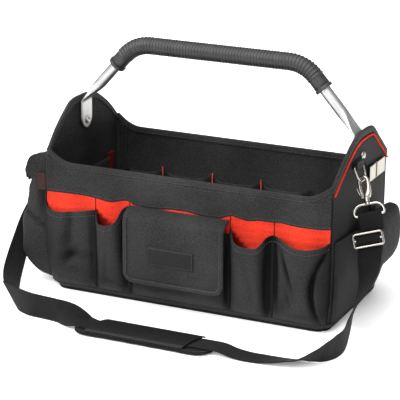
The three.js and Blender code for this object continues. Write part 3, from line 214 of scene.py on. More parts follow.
wear, given, sent = effect("dust_and_creases", [
    ("Place", "NodeSocketVector", None),
    ("Dust size", "NodeSocketFloat", DUST_SIZE),
], ["Dust", "Creases"])
cloud = wear.nodes.new("ShaderNodeTexNoise")
wear.links.new(given["Place"], cloud.inputs["Vector"])
wear.links.new(given["Dust size"], cloud.inputs["Scale"])
cloud.inputs["Detail"].default_value = 5
speckle = scaled(wear, noise(wear, given["Place"], 160, 4.0), 0.8, 0.6)
wear.links.new(calc(wear, "MULTIPLY", cloud.outputs[0], speckle), sent["Dust"])
small_folds = calc(wear, "MULTIPLY", noise(wear, given["Place"], 42, 2.0), 0.3)
wear.links.new(calc(wear, "ADD", noise(wear, given["Place"], 13, 2.0, 0.4), small_folds), sent["Creases"])


def cloth_look(name, low, high, across, along, rough=0.62, dent=0.35, crease=4.0, sheen=0.0, finish="cloth"):
    """A woven look from low to high colour, with thread sizes and dents in millimetres. Its colour
    varies at random with dust and its threads, and is painted darker as shade down in its folds, as
    much as the piece's shade attribute says."""
    look, tree, shader = plain_look(name, {
        "Sheen Weight": sheen, "Sheen Roughness": 0.5, "Specular IOR Level": CLOTH_GLOSS,
    })
    here = tree.nodes.new("ShaderNodeTexCoord").outputs["Object"]
    place = here
    if finish == "cloth":
        along_threads = tree.nodes.new("ShaderNodeUVMap")
        along_threads.uv_map = "cloth"
        place = along_threads.outputs[0]
    weave = use_effect(tree, threads, place, {"Across": across / 1000, "Along": along / 1000})
    worn = use_effect(tree, wear, here, {"Dust size": DUST_SIZE})
    faded = scaled(tree, worn["Dust"], 1.2, scaled(tree, weave["Shade"], 0.8, -0.65))
    # Painted shade: down in folds the colour goes towards a quarter of its low colour.
    depth = tree.nodes.new("ShaderNodeAttribute")
    depth.attribute_name = "painted_shade"
    dark = tuple(FOLD_SHADE_LEVEL * value for value in low)
    colour = mixed(tree, mixed(tree, low, high, faded), dark, depth.outputs["Fac"])
    tree.links.new(colour, shader["Base Color"])
    tree.links.new(scaled(tree, worn["Dust"], 0.25, rough - 0.1), shader["Roughness"])
    folds = bumped(tree, worn["Creases"], crease / 1000, 0.6)
    tree.links.new(bumped(tree, weave["Height"], dent / 1000, 0.8, folds), shader["Normal"])
    return look


black_cloth = cloth_look(
    "black_cloth", (0.004, 0.004, 0.0041), (0.036, 0.0355, 0.0352), 1.2, 1.2, sheen=0.01)

# Shell
# One tub of that cloth over a stiffener: a floor, two long walls and two peaked ends, open on top.
# It stands on a rounded foot, and its soft walls bow out a little between their edges.
HALF, DEEP = 250, 126
CORNER = 5
SIDE_X, SIDE_Y = HALF - CORNER, DEEP - CORNER
RIM, RIM_CORNER, PEAK, RISE = 221, 241, 305, 48
LOW, TOP_LEVEL = 0.07 * RIM, 0.95 * RIM
WALL, BOW = 3, 2.5
SHELL_FOOT, FOOT_ROUND = 5.3, 6
FOOT_CORNER, BACK_FOOT_CORNER, FOOT_FADE = 30, 60, 75
# place from front to back, then how far up to the peak the left end's rim and the right end's are
END_RIM = [
    (-1, 0, 0), (-0.78, 0.42, 0.29), (-0.58, 0.71, 0.52), (-0.35, 0.96, 0.76), (-0.2, 1, 0.87),
    (0, 1, 0.93), (0.2, 0.96, 0.93), (0.38, 0.86, 0.9), (0.48, 0.76, 0.8), (0.65, 0.56, 0.53),
    (0.83, 0.3, 0.27), (1, 0, 0),
]


def graph(rows, at, level_ends=False):
    """A smooth line through rows of (place, value), without swinging past them."""
    xs, ys = np.array(rows, float).T
    steps = np.diff(ys) / np.diff(xs)
    here, ahead = steps[:-1], steps[1:]
    between = np.where(ahead * here > 0, 2 * ahead * here / (ahead + here + 1e-12), 0)
    slopes = np.concatenate([steps[:1], between, steps[-1:]])
    if level_ends:
        slopes[0] = slopes[-1] = 0
    at = np.clip(at, xs[0], xs[-1])
    i = np.clip(np.searchsorted(xs, at, side="right") - 1, 0, len(xs) - 2)
    wide = xs[i + 1] - xs[i]
    t = (at - xs[i]) / wide
    return (ys[i] * (1 + 2 * t) * (1 - t) ** 2 + slopes[i] * wide * t * (1 - t) ** 2
            + ys[i + 1] * t * t * (3 - 2 * t) + slopes[i + 1] * wide * t * t * (t - 1))


def ease(t):
    """A soft step from 0 to 1."""
    t = np.clip(t, 0, 1)
    return t * t * (3 - 2 * t)


def spots(x, y, z):
    """Points from three coordinates, any of which may be one number for all."""
    return np.stack(np.broadcast_arrays(*(np.asarray(value, float) for value in (x, y, z))), axis=-1)


def end_rim(side, y):
    """Height of an end panel's rim from front to back."""
    rows = [(at * SIDE_Y, left if side < 0 else right) for at, left, right in END_RIM]
    return RIM_CORNER + (PEAK - RIM_CORNER) * graph(rows, y)


def long_rim(x):
    """Height of the front and back rim, which climbs to the ends."""
    past = np.clip((np.abs(x) - (HALF - RISE)) / (RISE - CORNER), 0, 1)
    return RIM + (RIM_CORNER - RIM) * past * past


def bulge(z):
    """How much of their bow the walls have at a height."""
    return np.sin(math.pi * np.clip((z - LOW) / (TOP_LEVEL - LOW), 0, 1))


def long_face(x, z):
    """How far out the faces of the front and back walls lie."""
    return DEEP + BOW * (1 - np.clip(np.abs(x) / SIDE_X, 0, 1) ** 2) * bulge(z)


def end_face(y, z):
    """How far out the faces of the end walls lie."""
    return HALF + BOW * (1 - np.clip(np.abs(y) / SIDE_Y, 0, 1) ** 2) * bulge(z)


def plan(long_steps, end_steps, corner_steps):
    """Stations round the bag: x, y, outward x and y, and the rim's height."""
    rows = []

    def corner(cx, cy, start):
        for t in np.linspace(0, 1, corner_steps + 1)[1:-1]:
            c, s = math.cos(math.radians(start + 90 * t)), math.sin(math.radians(start + 90 * t))
            rows.append((cx * SIDE_X + CORNER * c, cy * SIDE_Y + CORNER * s, c, s, RIM_CORNER))

    def long_side(shares, sign):
        rows.extend((t * SIDE_X, sign * DEEP, 0, sign, float(long_rim(t * SIDE_X))) for t in shares)

    def end_side(shares, sign):
        rows.extend((sign * HALF, t * SIDE_Y, sign, 0, float(end_rim(sign, t * SIDE_Y))) for t in shares)

    across, deep = np.linspace(-1, 1, long_steps + 1), np.linspace(-1, 1, end_steps + 1)
    long_side(across, -1)
    corner(1, -1, -90)
    end_side(deep, 1)
    corner(1, 1, 0)
    long_side(across[::-1], 1)
    corner(-1, 1, 90)
    end_side(deep[::-1], -1)
    corner(-1, -1, 180)
    return np.array(rows)


def soft_corner(points):
    """Rounds the bag's upright corners more and more towards its soft foot."""
    points = np.array(points, float)
    corner = np.where(points[..., 1:2] > 0, BACK_FOOT_CORNER, FOOT_CORNER)
    middle = np.concatenate([HALF - corner, DEEP - corner], axis=-1)
    reach = np.abs(points[..., :2])
    past = np.maximum(reach - middle, 0)
    square, true = past.max(axis=-1), np.linalg.norm(past, axis=-1) + 1e-9
    share = ease((FOOT_FADE - points[..., 2]) / FOOT_FADE)
    factor = 1 - share * (1 - square / true) * (past.min(axis=-1) > 0)
    points[..., :2] = np.sign(points[..., :2]) * (np.minimum(reach, middle) + past * factor[..., None])
    return points


def ring(rows, reach, z):
    """Points round the bag at a reach from its outer face and a height, for every station."""
    x, y, nx, ny, _ = rows.T
    z = np.broadcast_to(z, x.shape)
    bow = np.where(nx == 0, long_face(x, z) - DEEP, np.where(ny == 0, end_face(y, z) - HALF, 0))
    out = bow + reach
    return soft_corner(spots(x + nx * out, y + ny * out, z))


def foot_ring(rows, share, inset, z):
    """The same stations drawn in on the rounded foot, where the corners are rounder too."""
    x, y, nx, ny, _ = rows.T
    radius = CORNER + share * FOOT_ROUND / 2
    reach = share * FOOT_ROUND + inset + radius
    return soft_corner(spots(
        (x - CORNER * nx) * (HALF - reach) / SIDE_X + radius * nx,
        (y - CORNER * ny) * (DEEP - reach) / SIDE_Y + radius * ny, z))


def solid(name, points, faces, uvs, crisp=40):
    """A closed mesh from points in millimetres, faces and their corners' places on the cloth."""
    points = np.asarray(points, float) / 1000
    volume = 0.0
    for size in {len(f) for f in faces}:
        loop = points[np.array([f for f in faces if len(f) == size])]
        for k in range(1, size - 1):
            volume += np.einsum("ij,ij->", loop[:, 0], np.cross(loop[:, k], loop[:, k + 1]))
    if volume < 0:
        faces = [f[::-1] for f in faces]
        uvs = [u[::-1] for u in uvs]
    mesh = bpy.data.meshes.new(name)
    mesh.from_pydata(points.tolist(), [], faces)
    layer = mesh.uv_layers.new(name="cloth")
    places = np.concatenate([np.asarray(u, float) for u in uvs]) / 1000
    layer.data.foreach_set("uv", places.astype(np.float32).ravel())
    mesh.shade_smooth()
    mesh.set_sharp_from_angle(angle=math.radians(crisp))
    made = bpy.data.objects.new(name, mesh)
    scene.collection.objects.link(made)
    return made


def loft(name, rings, closed=False, crisp=40):
    """Rings of equal count joined by quads: a closed loop of rings, or else capped at both ends."""
    rings = np.asarray(rings, float)
    many, count = rings.shape[:2]
    beside = np.linalg.norm(np.roll(rings, -1, axis=1) - rings, axis=2).mean(axis=0)
    ahead = np.linalg.norm(np.roll(rings, -1, axis=0) - rings, axis=2).mean(axis=1)
    round_way = np.concatenate([[0], np.cumsum(beside)])
    long_way = np.concatenate([[0], np.cumsum(ahead)])
    faces, uvs = [], []
    for i in range(many if closed else many - 1):
        a, b = i * count, (i + 1) % many * count
        near, far = long_way[i], long_way[i + 1]
        for j in range(count):
            k = (j + 1) % count
            left, right = round_way[j], round_way[j + 1]
            faces.append((a + j, a + k, b + k, b + j))
            uvs.append([(left, near), (right, near), (right, far), (left, far)])
    if not closed:
        for loop, end in ((range(count)[::-1], 0), (range(count), many - 1)):
            faces.append(tuple(end * count + j for j in loop))
            uvs.append([tuple(rings[end][j][:2]) for j in loop])
    return solid(name, rings.reshape(-1, 3), faces, uvs, crisp)


carriers = {
    node: body for body, nodes in frame["record"]["behaviour"]["bodies"].items() for node in nodes}


def fitted(made, look, slot, *nodes, body=None):
    """Gives a piece its finish and its body, and lets it stand for the CAD nodes named."""
    made.data.materials.clear()
    made.data.materials.append(look)
    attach(made, body or carriers[nodes[0]])
    if nodes:
        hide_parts(*nodes)
    return made


stations = plan(120, 60, 6)
rim = stations[:, 4]
walls = [
    foot_ring(stations, (1 - share) ** 2.44, 0, SHELL_FOOT + share * (LOW - SHELL_FOOT))
    for share in (0, 0.12, 0.35, 0.65)]
walls += [ring(stations, 0, z) for z in np.linspace(LOW, TOP_LEVEL, 16)]
walls += [ring(stations, 0, rim), ring(stations, -WALL, rim)]
walls += [ring(stations, -WALL, z) for z in np.linspace(TOP_LEVEL, LOW + 3, 16)]
walls += [foot_ring(stations, 0.35, WALL, LOW - 1), foot_ring(stations, 1, WALL, SHELL_FOOT + 3)]
fitted(loft("shell", walls), black_cloth, "black_cloth",
       "shell_floor", "shell_front", "shell_back", "shell_left", "shell_right")

# Base
# A stiff board under the floor, and a round cord of cloth sewn into the seam above it, all round.
# The board's edge is rounded off, and the cord follows the soft corners of the foot.
CORD_ROUND = 1.5
base_look = cloth_look(
    "base_board", (0.003, 0.003, 0.003), (0.014, 0.014, 0.014), 2.2, 2.2,
    rough=0.7, sheen=0.02, finish="solid")
_, board_high = np.array(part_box("base_panel")) * 1000
board_in, board_top = HALF - board_high[0] - FOOT_ROUND, board_high[2]
board_rows = plan(60, 36, 8)
board_edge = [(3.5, 0.0), (0.8, 0.4), (0, 1.4), (0, board_top - 0.9), (0.5, board_top - 0.2), (2, board_top)]
board = [foot_ring(board_rows, 1, board_in + inset, z) for inset, z in board_edge]
fitted(loft("base_board", board, crisp=50), base_look, "base", "base_panel")


def circle(sides):
    """Even angles all round."""
    return np.linspace(0, 2 * math.pi, sides + 1)[:-1]


piping_rows = plan(60, 36, 6)
cord = np.stack([
    ring(piping_rows, 2 + CORD_ROUND * math.cos(a), LOW - CORD_ROUND + CORD_ROUND * math.sin(a))
    for a in circle(10)], axis=1)
fitted(loft("base_cord", cord, closed=True, crisp=80), black_cloth, "black_cloth", "base_piping")

# Rim tape
# A smooth tape folded over the raw edge of the walls all round, and sewn through with one row of
# stitches on each side. The stitches are laid along a line by one tree, used for every seam below.
TAPE, TAPE_DOWN, TAPE_SEAM = 1.2, 9, 6.2
tape_cloth = cloth_look(
    "edge_tape", (0.004, 0.004, 0.0041), (0.036, 0.0355, 0.035), 2.6, 0.8,
    rough=0.5, dent=0.25, crease=1.0, sheen=0.03)
outer_face, inner_face, tape_top = 0.3 + TAPE, -(WALL + 0.3) - TAPE, 0.5 + TAPE
fold = [
    (outer_face - 0.3, -TAPE_DOWN - 0.2), (outer_face, -TAPE_DOWN + 0.4), (outer_face + 0.15, -4),
    (outer_face, tape_top - 1.4), (outer_face - 0.5, tape_top - 0.4), (outer_face - 1.5, tape_top),
    (inner_face + 1.5, tape_top), (inner_face + 0.5, tape_top - 0.4), (inner_face, tape_top - 1.4),
    (inner_face, -TAPE_DOWN), (-WALL - 0.3, -TAPE_DOWN), (-WALL - 0.3, 0.5), (0.3, 0.5), (0.3, -TAPE_DOWN),
]
tape = np.stack([ring(stations, reach, rim + up) for reach, up in fold], axis=1)
fitted(loft("rim_tape", tape, closed=True, crisp=50), tape_cloth, "black_cloth", "rim_binding")


def repeat_tree(name, inputs, build):
    """A tree that sets copies of one small shape along the lines it is given."""
    tree = bpy.data.node_groups.new(name, "GeometryNodeTree")
    tree.interface.new_socket("Lines", in_out="INPUT", socket_type="NodeSocketGeometry")
    for label in inputs:
        tree.interface.new_socket(label, in_out="INPUT", socket_type="NodeSocketFloat")
    tree.interface.new_socket("Finish", in_out="INPUT", socket_type="NodeSocketMaterial")
    tree.interface.new_socket("Shape", in_out="OUTPUT", socket_type="NodeSocketGeometry")
    start, end = tree.nodes.new("NodeGroupInput"), tree.nodes.new("NodeGroupOutput")
    line = tree.nodes.new("GeometryNodeMeshToCurve")
    marks = tree.nodes.new("GeometryNodeCurveToPoints")
    marks.mode = "LENGTH"
    copies = tree.nodes.new("GeometryNodeInstanceOnPoints")
    real = tree.nodes.new("GeometryNodeRealizeInstances")
    smooth = tree.nodes.new("GeometryNodeSetShadeSmooth")
    finish = tree.nodes.new("GeometryNodeSetMaterial")
    join = tree.links.new
    join(start.outputs["Lines"], line.inputs["Mesh"])
    join(line.outputs["Curve"], marks.inputs["Curve"])
    join(start.outputs["Pitch"], marks.inputs["Length"])
    join(marks.outputs["Points"], copies.inputs["Points"])
    join(marks.outputs["Rotation"], copies.inputs["Rotation"])
    join(build(tree, start.outputs), copies.inputs["Instance"])
    join(copies.outputs["Instances"], real.inputs["Geometry"])
    join(real.outputs["Geometry"], smooth.inputs["Geometry"])
    join(smooth.outputs["Geometry"], finish.inputs["Geometry"])
    join(start.outputs["Finish"], finish.inputs["Material"])
    join(finish.outputs["Geometry"], end.inputs["Shape"])
    return tree


def stitch_shape(tree, given):
    """One stitch, a small bead drawn out along its row."""
    bead = tree.nodes.new("GeometryNodeMeshUVSphere")
    bead.inputs["Segments"].default_value = 6
    bead.inputs["Rings"].default_value = 4
    bead.inputs["Radius"].default_value = 0.5
    size = tree.nodes.new("ShaderNodeCombineXYZ")
    drawn = tree.nodes.new("GeometryNodeTransform")
    for axis, label in enumerate(("Thread", "Thread", "Length")):
        tree.links.new(given[label], size.inputs[axis])
    tree.links.new(bead.outputs["Mesh"], drawn.inputs["Geometry"])
    tree.links.new(size.outputs[0], drawn.inputs["Scale"])
    return drawn.outputs[0]


stitch_tree = repeat_tree("stitch_row", ["Pitch", "Length", "Thread"], stitch_shape)


def settled(made):
    """A plain mesh of an object with its modifiers worked in."""
    return bpy.data.meshes.new_from_object(made.evaluated_get(bpy.context.evaluated_depsgraph_get()))


def repeated(name, tree, lines, closed, look, **sizes):
    """One plain mesh of what a tree repeats along lines of points, in millimetres."""
    points, edges = [], []
    for line in lines:
        first = len(points)
        points += (np.asarray(line, float) / 1000).tolist()
        edges += [(k, k + 1) for k in range(first, len(points) - 1)]
        if closed:
            edges.append((len(points) - 1, first))
    mesh = bpy.data.meshes.new(name)
    mesh.from_pydata(points, edges, [])
    guide = bpy.data.objects.new(name + "_guide", mesh)
    scene.collection.objects.link(guide)
    steps = guide.modifiers.new("repeat", "NODES")
    steps.node_group = tree
    named = {s.name: s.identifier for s in tree.interface.items_tree if s.in_out == "INPUT"}
    for label, value in sizes.items():
        steps[named[label]] = value / 1000
    steps[named["Finish"]] = look
    made_mesh = settled(guide)
    made_mesh.name = name
    guide.modifiers.remove(steps)
    bpy.data.objects.remove(guide)
    made = bpy.data.objects.new(name, made_mesh)
    scene.collection.objects.link(made)
    return made


thread_look = cloth_look(
    "sewing_thread", (0.03, 0.03, 0.03), (0.12, 0.12, 0.12), 0.5, 0.5, rough=0.45, crease=0.2, finish="solid")


def stitches(name, lines, closed=False, look=thread_look, pitch=4.2, length=3.0, thread=0.8,
             slot="black_cloth"):
    """Rows of stitches on the bag, with their pitch, length and thickness in millimetres."""
    made = repeated(name, stitch_tree, lines, closed, look, Pitch=pitch, Length=length, Thread=thread)
    return fitted(made, look, slot, body="bag")


stitches("rim_stitches", [
    ring(stations, outer_face + 0.15, rim - TAPE_SEAM),
    ring(stations, inner_face - 0.05, rim - TAPE_SEAM),
], closed=True)

# Front lining and band
# A red cloth is sewn flat on the front wall behind the pockets, and a black band covers the wall
# above it. The lining ripples where the pockets' seams draw it in.
LAYER = 0.5
LINING, BAND = 1.2, 1.6
POCKET_FOOT = max(12, LOW + 0.3)
BAND_LAP, BAND_SEAM = 2, 3.5
LINING_TUCK, LINING_TUCK_TOP = 3, 156
# place along the front and height of the band's lower edge
BAND_EDGE = [
    (-250, 170.5), (-187, 172), (-160, 171), (-148, 169.5), (-132, 168), (-118, 171), (-104, 174),
    (-97, 173.5), (-88, 168.5), (-60, 167.5), (-40, 168.4), (-20, 170.4), (5, 170.8), (24, 168.6),
    (45, 167.5), (64, 168.5), (76, 173), (84, 175), (97, 172.5), (111, 171), (130, 174), (150, 174.5),
    (165, 175.5), (185, 173.5), (205, 172.5), (232, 173.5), (250, 176),
]
# left side, top and slope of the wedges of painted shade where the lining goes down into a pocket
SHADE_WEDGES = [(-155, 152, 1.35), (84, 156, 1.0), (-250, 149, 0.9)]


def grid(us, vs):
    """The two coordinates of every place of a sheet."""
    return np.meshgrid(us, vs, indexing="ij")


def front(x, z, stand):
    """Places on the front wall's bowed face, standing off it."""
    x, z = np.broadcast_arrays(np.asarray(x, float), np.asarray(z, float))
    return soft_corner(spots(x, -(long_face(x, z) + stand), z))


def cloth(name, outer, thickness, out, crisp=60, painted_shade=None):
    """A sheet of cloth from a grid on its outer face, with a rounded edge all round."""
    outer = np.asarray(outer, float)
    many, count = outer.shape[:2]
    normal = np.cross(np.gradient(outer, axis=0), np.gradient(outer, axis=1))
    normal /= np.linalg.norm(normal, axis=2, keepdims=True) + 1e-12
    if (normal @ np.asarray(out, float)).sum() < 0:
        normal = -normal
    inner = outer - normal * thickness
    beside = np.linalg.norm(np.diff(outer, axis=0), axis=2).mean(axis=1)
    above = np.linalg.norm(np.diff(outer, axis=1), axis=2).mean(axis=0)
    step_u, step_v = (np.concatenate([[0], np.cumsum(steps)]) for steps in (beside, above))
    edge = [(i, 0) for i in range(many)] + [(many - 1, j) for j in range(1, count)]
    edge += [(i, count - 1) for i in range(many - 2, -1, -1)] + [(0, j) for j in range(count - 2, 0, -1)]
    mids = []
    for i, j in edge:
        way = outer[i, j] - outer[min(max(i, 1), many - 2), min(max(j, 1), count - 2)]
        way = way / (np.linalg.norm(way) + 1e-9)
        mids.append((outer[i, j] + inner[i, j]) / 2 + way * min(thickness * 0.35, 0.6))
    points = np.concatenate([outer.reshape(-1, 3), inner.reshape(-1, 3), np.array(mids)])
    place = [(u, v) for u in step_u for v in step_v] * 2 + [(step_u[i], step_v[j]) for i, j in edge]
    back, rim_at = many * count, 2 * many * count
    faces = []
    for i in range(many - 1):
        for j in range(count - 1):
            a = i * count + j
            faces.append((a, a + count, a + count + 1, a + 1))
            faces.append((back + a, back + a + 1, back + a + count + 1, back + a + count))
    for k, (i, j) in enumerate(edge):
        n = (k + 1) % len(edge)
        a, b = i * count + j, edge[n][0] * count + edge[n][1]
        faces.append((b, a, rim_at + k, rim_at + n))
        faces.append((rim_at + n, rim_at + k, back + a, back + b))
    made = solid(name, points, faces, [[place[v] for v in f] for f in faces], crisp)
    # The mask paints shade into the sheet's colour, darker down in its folds.
    if painted_shade is not None:
        mark = made.data.attributes.new("painted_shade", "FLOAT", "POINT")
        values = np.concatenate([painted_shade.ravel(), painted_shade.ravel(), [painted_shade[i, j] for i, j in edge]])
        mark.data.foreach_set("value", np.clip(values, 0, 1).astype(np.float32))
    near = outer[:-1, :-1]
    cells = np.linalg.norm(np.cross(outer[1:, :-1] - near, outer[:-1, 1:] - near), axis=2).sum()
    made["flat"] = [step_u[-1] / 1000, step_v[-1] / 1000]
    made["area"] = min(cells / 1e6, made["flat"][0] * made["flat"][1])
    return made


def declared(made, held, *rests_on):
    """Takes a sheet's flat size and area off it again; how it is held and what it lies on are not used."""
    del made["flat"], made["area"]
    return made


red_cloth = cloth_look(
    "red_lining", (0.36, 0.012, 0.007), (0.76, 0.05, 0.022), 0.9, 0.9, rough=0.75, dent=0.25, crease=5.0)
x, v = grid(np.linspace(-1, 1, 181), np.linspace(0, 1, 28))
z = POCKET_FOOT + (graph(BAND_EDGE, HALF * x) + BAND_LAP - POCKET_FOOT) * v
x = x * (HALF - LINING_TUCK * ease((LINING_TUCK_TOP - z) / 10))
ripple = 0.5 * np.sin(z / 2.6 + np.sin(x / 23) * 2) * np.sin(x / 29 + 1.3) ** 2
# The lining is painted darker in wedges, as shade where it goes down into a pocket's left side, and darker in
# soft slanting bands and fine level stripes.
shade_and_bands = sum(
    0.95 * ease(((top - z) * slope - (x - at)) / 6) * ease((x - at + 4) / 2) for at, top, slope in SHADE_WEDGES)
shade_and_bands = shade_and_bands + 0.12 * (1 + np.sin(x / 11 + z / 29)) + 0.12 * np.sin(z / 1.9)
lining = cloth("red_lining", front(x, z, LAYER + LINING + np.abs(ripple)), LINING, (0, -1, 0), painted_shade=shade_and_bands)
declared(fitted(lining, red_cloth, "red_cloth", "front_backing"), "stretched", "shell")

x, v = grid(np.linspace(-HALF, HALF, 201), np.linspace(0, 1, 14))
foot = graph(BAND_EDGE, x[:, :1])
z = foot + (long_rim(x) - TAPE_DOWN - LAYER - foot) * v
soft_wave = 0.25 * np.sin(x / 23 + 0.7) + 0.25 * np.sin(x / 47 + z / 31)
stand = LAYER + BAND + np.maximum(soft_wave, -0.2) + 0.2
band = cloth("front_band", front(x, z, stand), BAND, (0, -1, 0))
declared(fitted(band, black_cloth, "black_cloth", "front_band"), "stretched", "shell")
x = np.linspace(-HALF + 3, HALF - 3, 161)
stitches("band_stitches", [front(x, graph(BAND_EDGE, x) + BAND_SEAM, LAYER + BAND + 0.55)])

# Front pockets
# Five pockets are sewn to the lining at their sides and foot, and stand open at the mouth. Each mouth
# is hemmed, and stitched where no flap hides it. Tools have left deep dents and slanting folds.
POCKET_CLOTH = 1.8
POCKET_HEM, HEM_WIDE, HEM_SEAM = 0.7, 10.5, 8.5
# name, left and right seam as shares of the half length, stand at the mouth and at the foot, how
# boxy it is across, and the mouth's heights from left to right
FRONT_POCKETS = [
    ("pocket_1", -1, -0.633, 8, 7, 3, [
        (0, 149), (0.04, 144), (0.12, 140.5), (0.32, 140), (0.5, 142.5), (0.72, 146.5), (1, 150)]),
    ("pocket_2", -0.631, -0.386, 18, 8, 3, [
        (0, 153), (0.045, 148), (0.08, 141), (0.13, 135), (0.2, 132.5), (0.4, 132.5), (0.55, 134.5),
        (0.68, 139), (0.76, 145), (0.82, 154), (0.89, 162), (1, 166)]),
    ("flap_pocket", -0.384, 0.322, 21, 9, 7, [(0, 146), (1, 146)]),
    ("pocket_3", 0.324, 0.62, 19, 8, 3.6, [
        (0, 154), (0.07, 151), (0.12, 146), (0.17, 140), (0.25, 135.5), (0.4, 133.2), (0.6, 133),
        (0.72, 135), (0.81, 141), (0.87, 148), (0.93, 152), (1, 153.5)]),
    ("pocket_4", 0.622, 1, 13, 8, 3, [
        (0, 153.5), (0.12, 153), (0.23, 149), (0.33, 144.5), (0.45, 141.5), (0.6, 141.5),
        (0.78, 144.5), (0.92, 149), (1, 154)]),
]
# middle across and up and reach across and up as shares of the pocket, sideways run on the way up,
# bow of that run, and depth in millimetres
DENTS = {
    "pocket_1": [
        (0.5, 0.86, 0.1, 0.2, 0.15, 0, 3.8), (0.45, 0.62, 0.13, 0.16, 0.1, 0, 4.2),
        (0.5, 0.43, 0.15, 0.12, 0.9, 2, 3.4), (0.42, 0.36, 0.13, 0.11, 1.0, 0, 3.2),
        (0.7, 0.42, 0.3, 0.07, 0, 0, 2.8), (0.56, 0.22, 0.2, 0.07, 0, 0, 1.6),
        (0.93, 0.5, 0.04, 0.5, 0, 0, 2.0)],
    "pocket_2": [
        (0.9, 0.5, 0.13, 0.55, 0, 0, 9), (0.36, 0.35, 0.08, 0.3, 0.2, 0, 1.8),
        (0.04, 0.5, 0.05, 0.6, 0, 0, 4), (0.5, 0.16, 0.3, 0.05, 0, 0, 2)],
    "flap_pocket": [
        (0.03, 0.2, 0.014, 0.3, 0.02, 0, 7.0), (0.3, 0.16, 0.3, 0.03, 0, 0, 1.5),
        (0.975, 0.4, 0.02, 0.6, 0, 0, 7)],
    "pocket_3": [
        (0.9, 0.5, 0.12, 0.62, 0.06, 0, 14), (0.55, 0.35, 0.12, 0.3, -0.2, 0, 1.5),
        (0.03, 0.5, 0.04, 0.6, 0, 0, 6)],
    "pocket_4": [
        (0.06, 0.6, 0.06, 0.45, -0.03, 0, 8), (0.27, 0.66, 0.045, 0.26, -0.45, 0, 6.0),
        (0.31, 0.3, 0.05, 0.16, -0.35, 0, 2.6), (0.2, 0.18, 0.1, 0.14, 0.4, 0, 2.0),
        (0.70, 0.42, 0.055, 0.4, 0, 0.9, 13.0), (0.87, 0.84, 0.06, 0.1, 0.7, 0, 4.5),
        (0.6, 0.1, 0.3, 0.05, 0, 0, 2.2)],
}
lining_face = LAYER + LINING
pocket_base = lining_face + LAYER + POCKET_CLOTH


def spread(*runs):
    """Even steps in runs of (start, end, count) that share their ends."""
    return np.concatenate([np.linspace(*runs[0])] + [np.linspace(*run)[1:] for run in runs[1:]])


def pocket_grid(row, us, vs):
    """A pocket's outer face, and how much painted shade darkens each of its places, in its dents and towards
    its seams.
    """
    name, start, end, mouth, foot, box, top = row
    u, v = grid(us, vs)
    x = HALF * (start + (end - start) * u)
    high = graph(top, u, level_ends=True)
    z = POCKET_FOOT + (high - POCKET_FOOT) * v
    level = 1 - np.abs(2 * u - 1) ** box
    stand = (foot + (mouth - foot) * ease(v)) * np.sqrt(ease(v / 0.12)) * level
    # Painted shade: darker towards the seams, where the pocket sinks to the lining, and down in each dent.
    painted_shade = 0.75 * (1 - level) * ease(v / 0.15)
    for du, dv, wide, tall, lean, bow, depth in DENTS[name]:
        past = v - dv
        dent = np.exp(-((u - du - lean * past - bow * past ** 2) / wide) ** 2 - (past / tall) ** 2)
        stand = stand - depth * np.sqrt(level) * dent
        painted_shade = painted_shade + depth / 7 * dent ** 1.5
    stand = stand + level * 0.6 * np.sin(x / 11 + z / 17) * np.sin(z / 23 + x / 31)
    hem = POCKET_HEM * ease((z - high + HEM_WIDE) / 0.8)
    return front(x, z, pocket_base + np.maximum(stand, 0) + hem), painted_shade


us = spread((0, 0.06, 6), (0.06, 0.94, 60), (0.94, 1, 6))
vs = spread((0, 0.12, 9), (0.12, 1, 52))
for row in FRONT_POCKETS:
    name, top = row[0], row[-1]
    points, painted_shade = pocket_grid(row, us, vs)
    pocket = cloth(name, points, POCKET_CLOTH, (0, -1, 0), painted_shade=painted_shade)
    declared(fitted(pocket, black_cloth, "black_cloth", name), "stretched", "red_lining")
    if name != "flap_pocket":
        high = graph(top, us, level_ends=True)
        seam = (high - HEM_SEAM - POCKET_FOOT) / (high - POCKET_FOOT)
        line = np.array([pocket_grid(row, [u], [v])[0][0, 0] for u, v in zip(us[2:-2], seam[2:-2])])
        stitches(name + "_stitches", [line + np.array([0, -0.1, 0])])

# Seams between the pockets
# Each pair of neighbours shares one seam, a folded edge sewn down from the foot to the mouth, and a
# bar of tight stitches above it on the red lining where the pockets pull.
SEAMS = [(-158, 150), (-96.2, 150), (80.8, 144), (155.2, 150)]
BARS = [(-158.5, 151, 171), (-96, 160, 173), (81.6, 138, 174), (156, 154, 174)]
CORNER_SEAM_TOP = 226
ENDS = ((-1, "left"), (1, "right"))


def tube(name, path, wide, tall, sides=12, flat=(0, 0, 1), crisp=60, taper=None):
    """A rod of oval section along a path, wide across and tall along the way named by flat."""
    path = np.asarray(path, float)
    way = np.gradient(path, axis=0)
    way /= np.linalg.norm(way, axis=1, keepdims=True)
    tall_way = np.asarray(flat, float) - way * (way @ np.asarray(flat, float))[:, None]
    tall_way /= np.linalg.norm(tall_way, axis=1, keepdims=True)
    wide_way = np.cross(way, tall_way)
    turn = circle(sides)
    grow = np.ones(len(path)) if taper is None else np.asarray(taper)
    across = wide_way[:, None] * (wide / 2 * np.cos(turn))[None, :, None]
    along = tall_way[:, None] * (tall / 2 * np.sin(turn))[None, :, None]
    return loft(name, path[:, None] + grow[:, None, None] * (across + along), crisp=crisp)


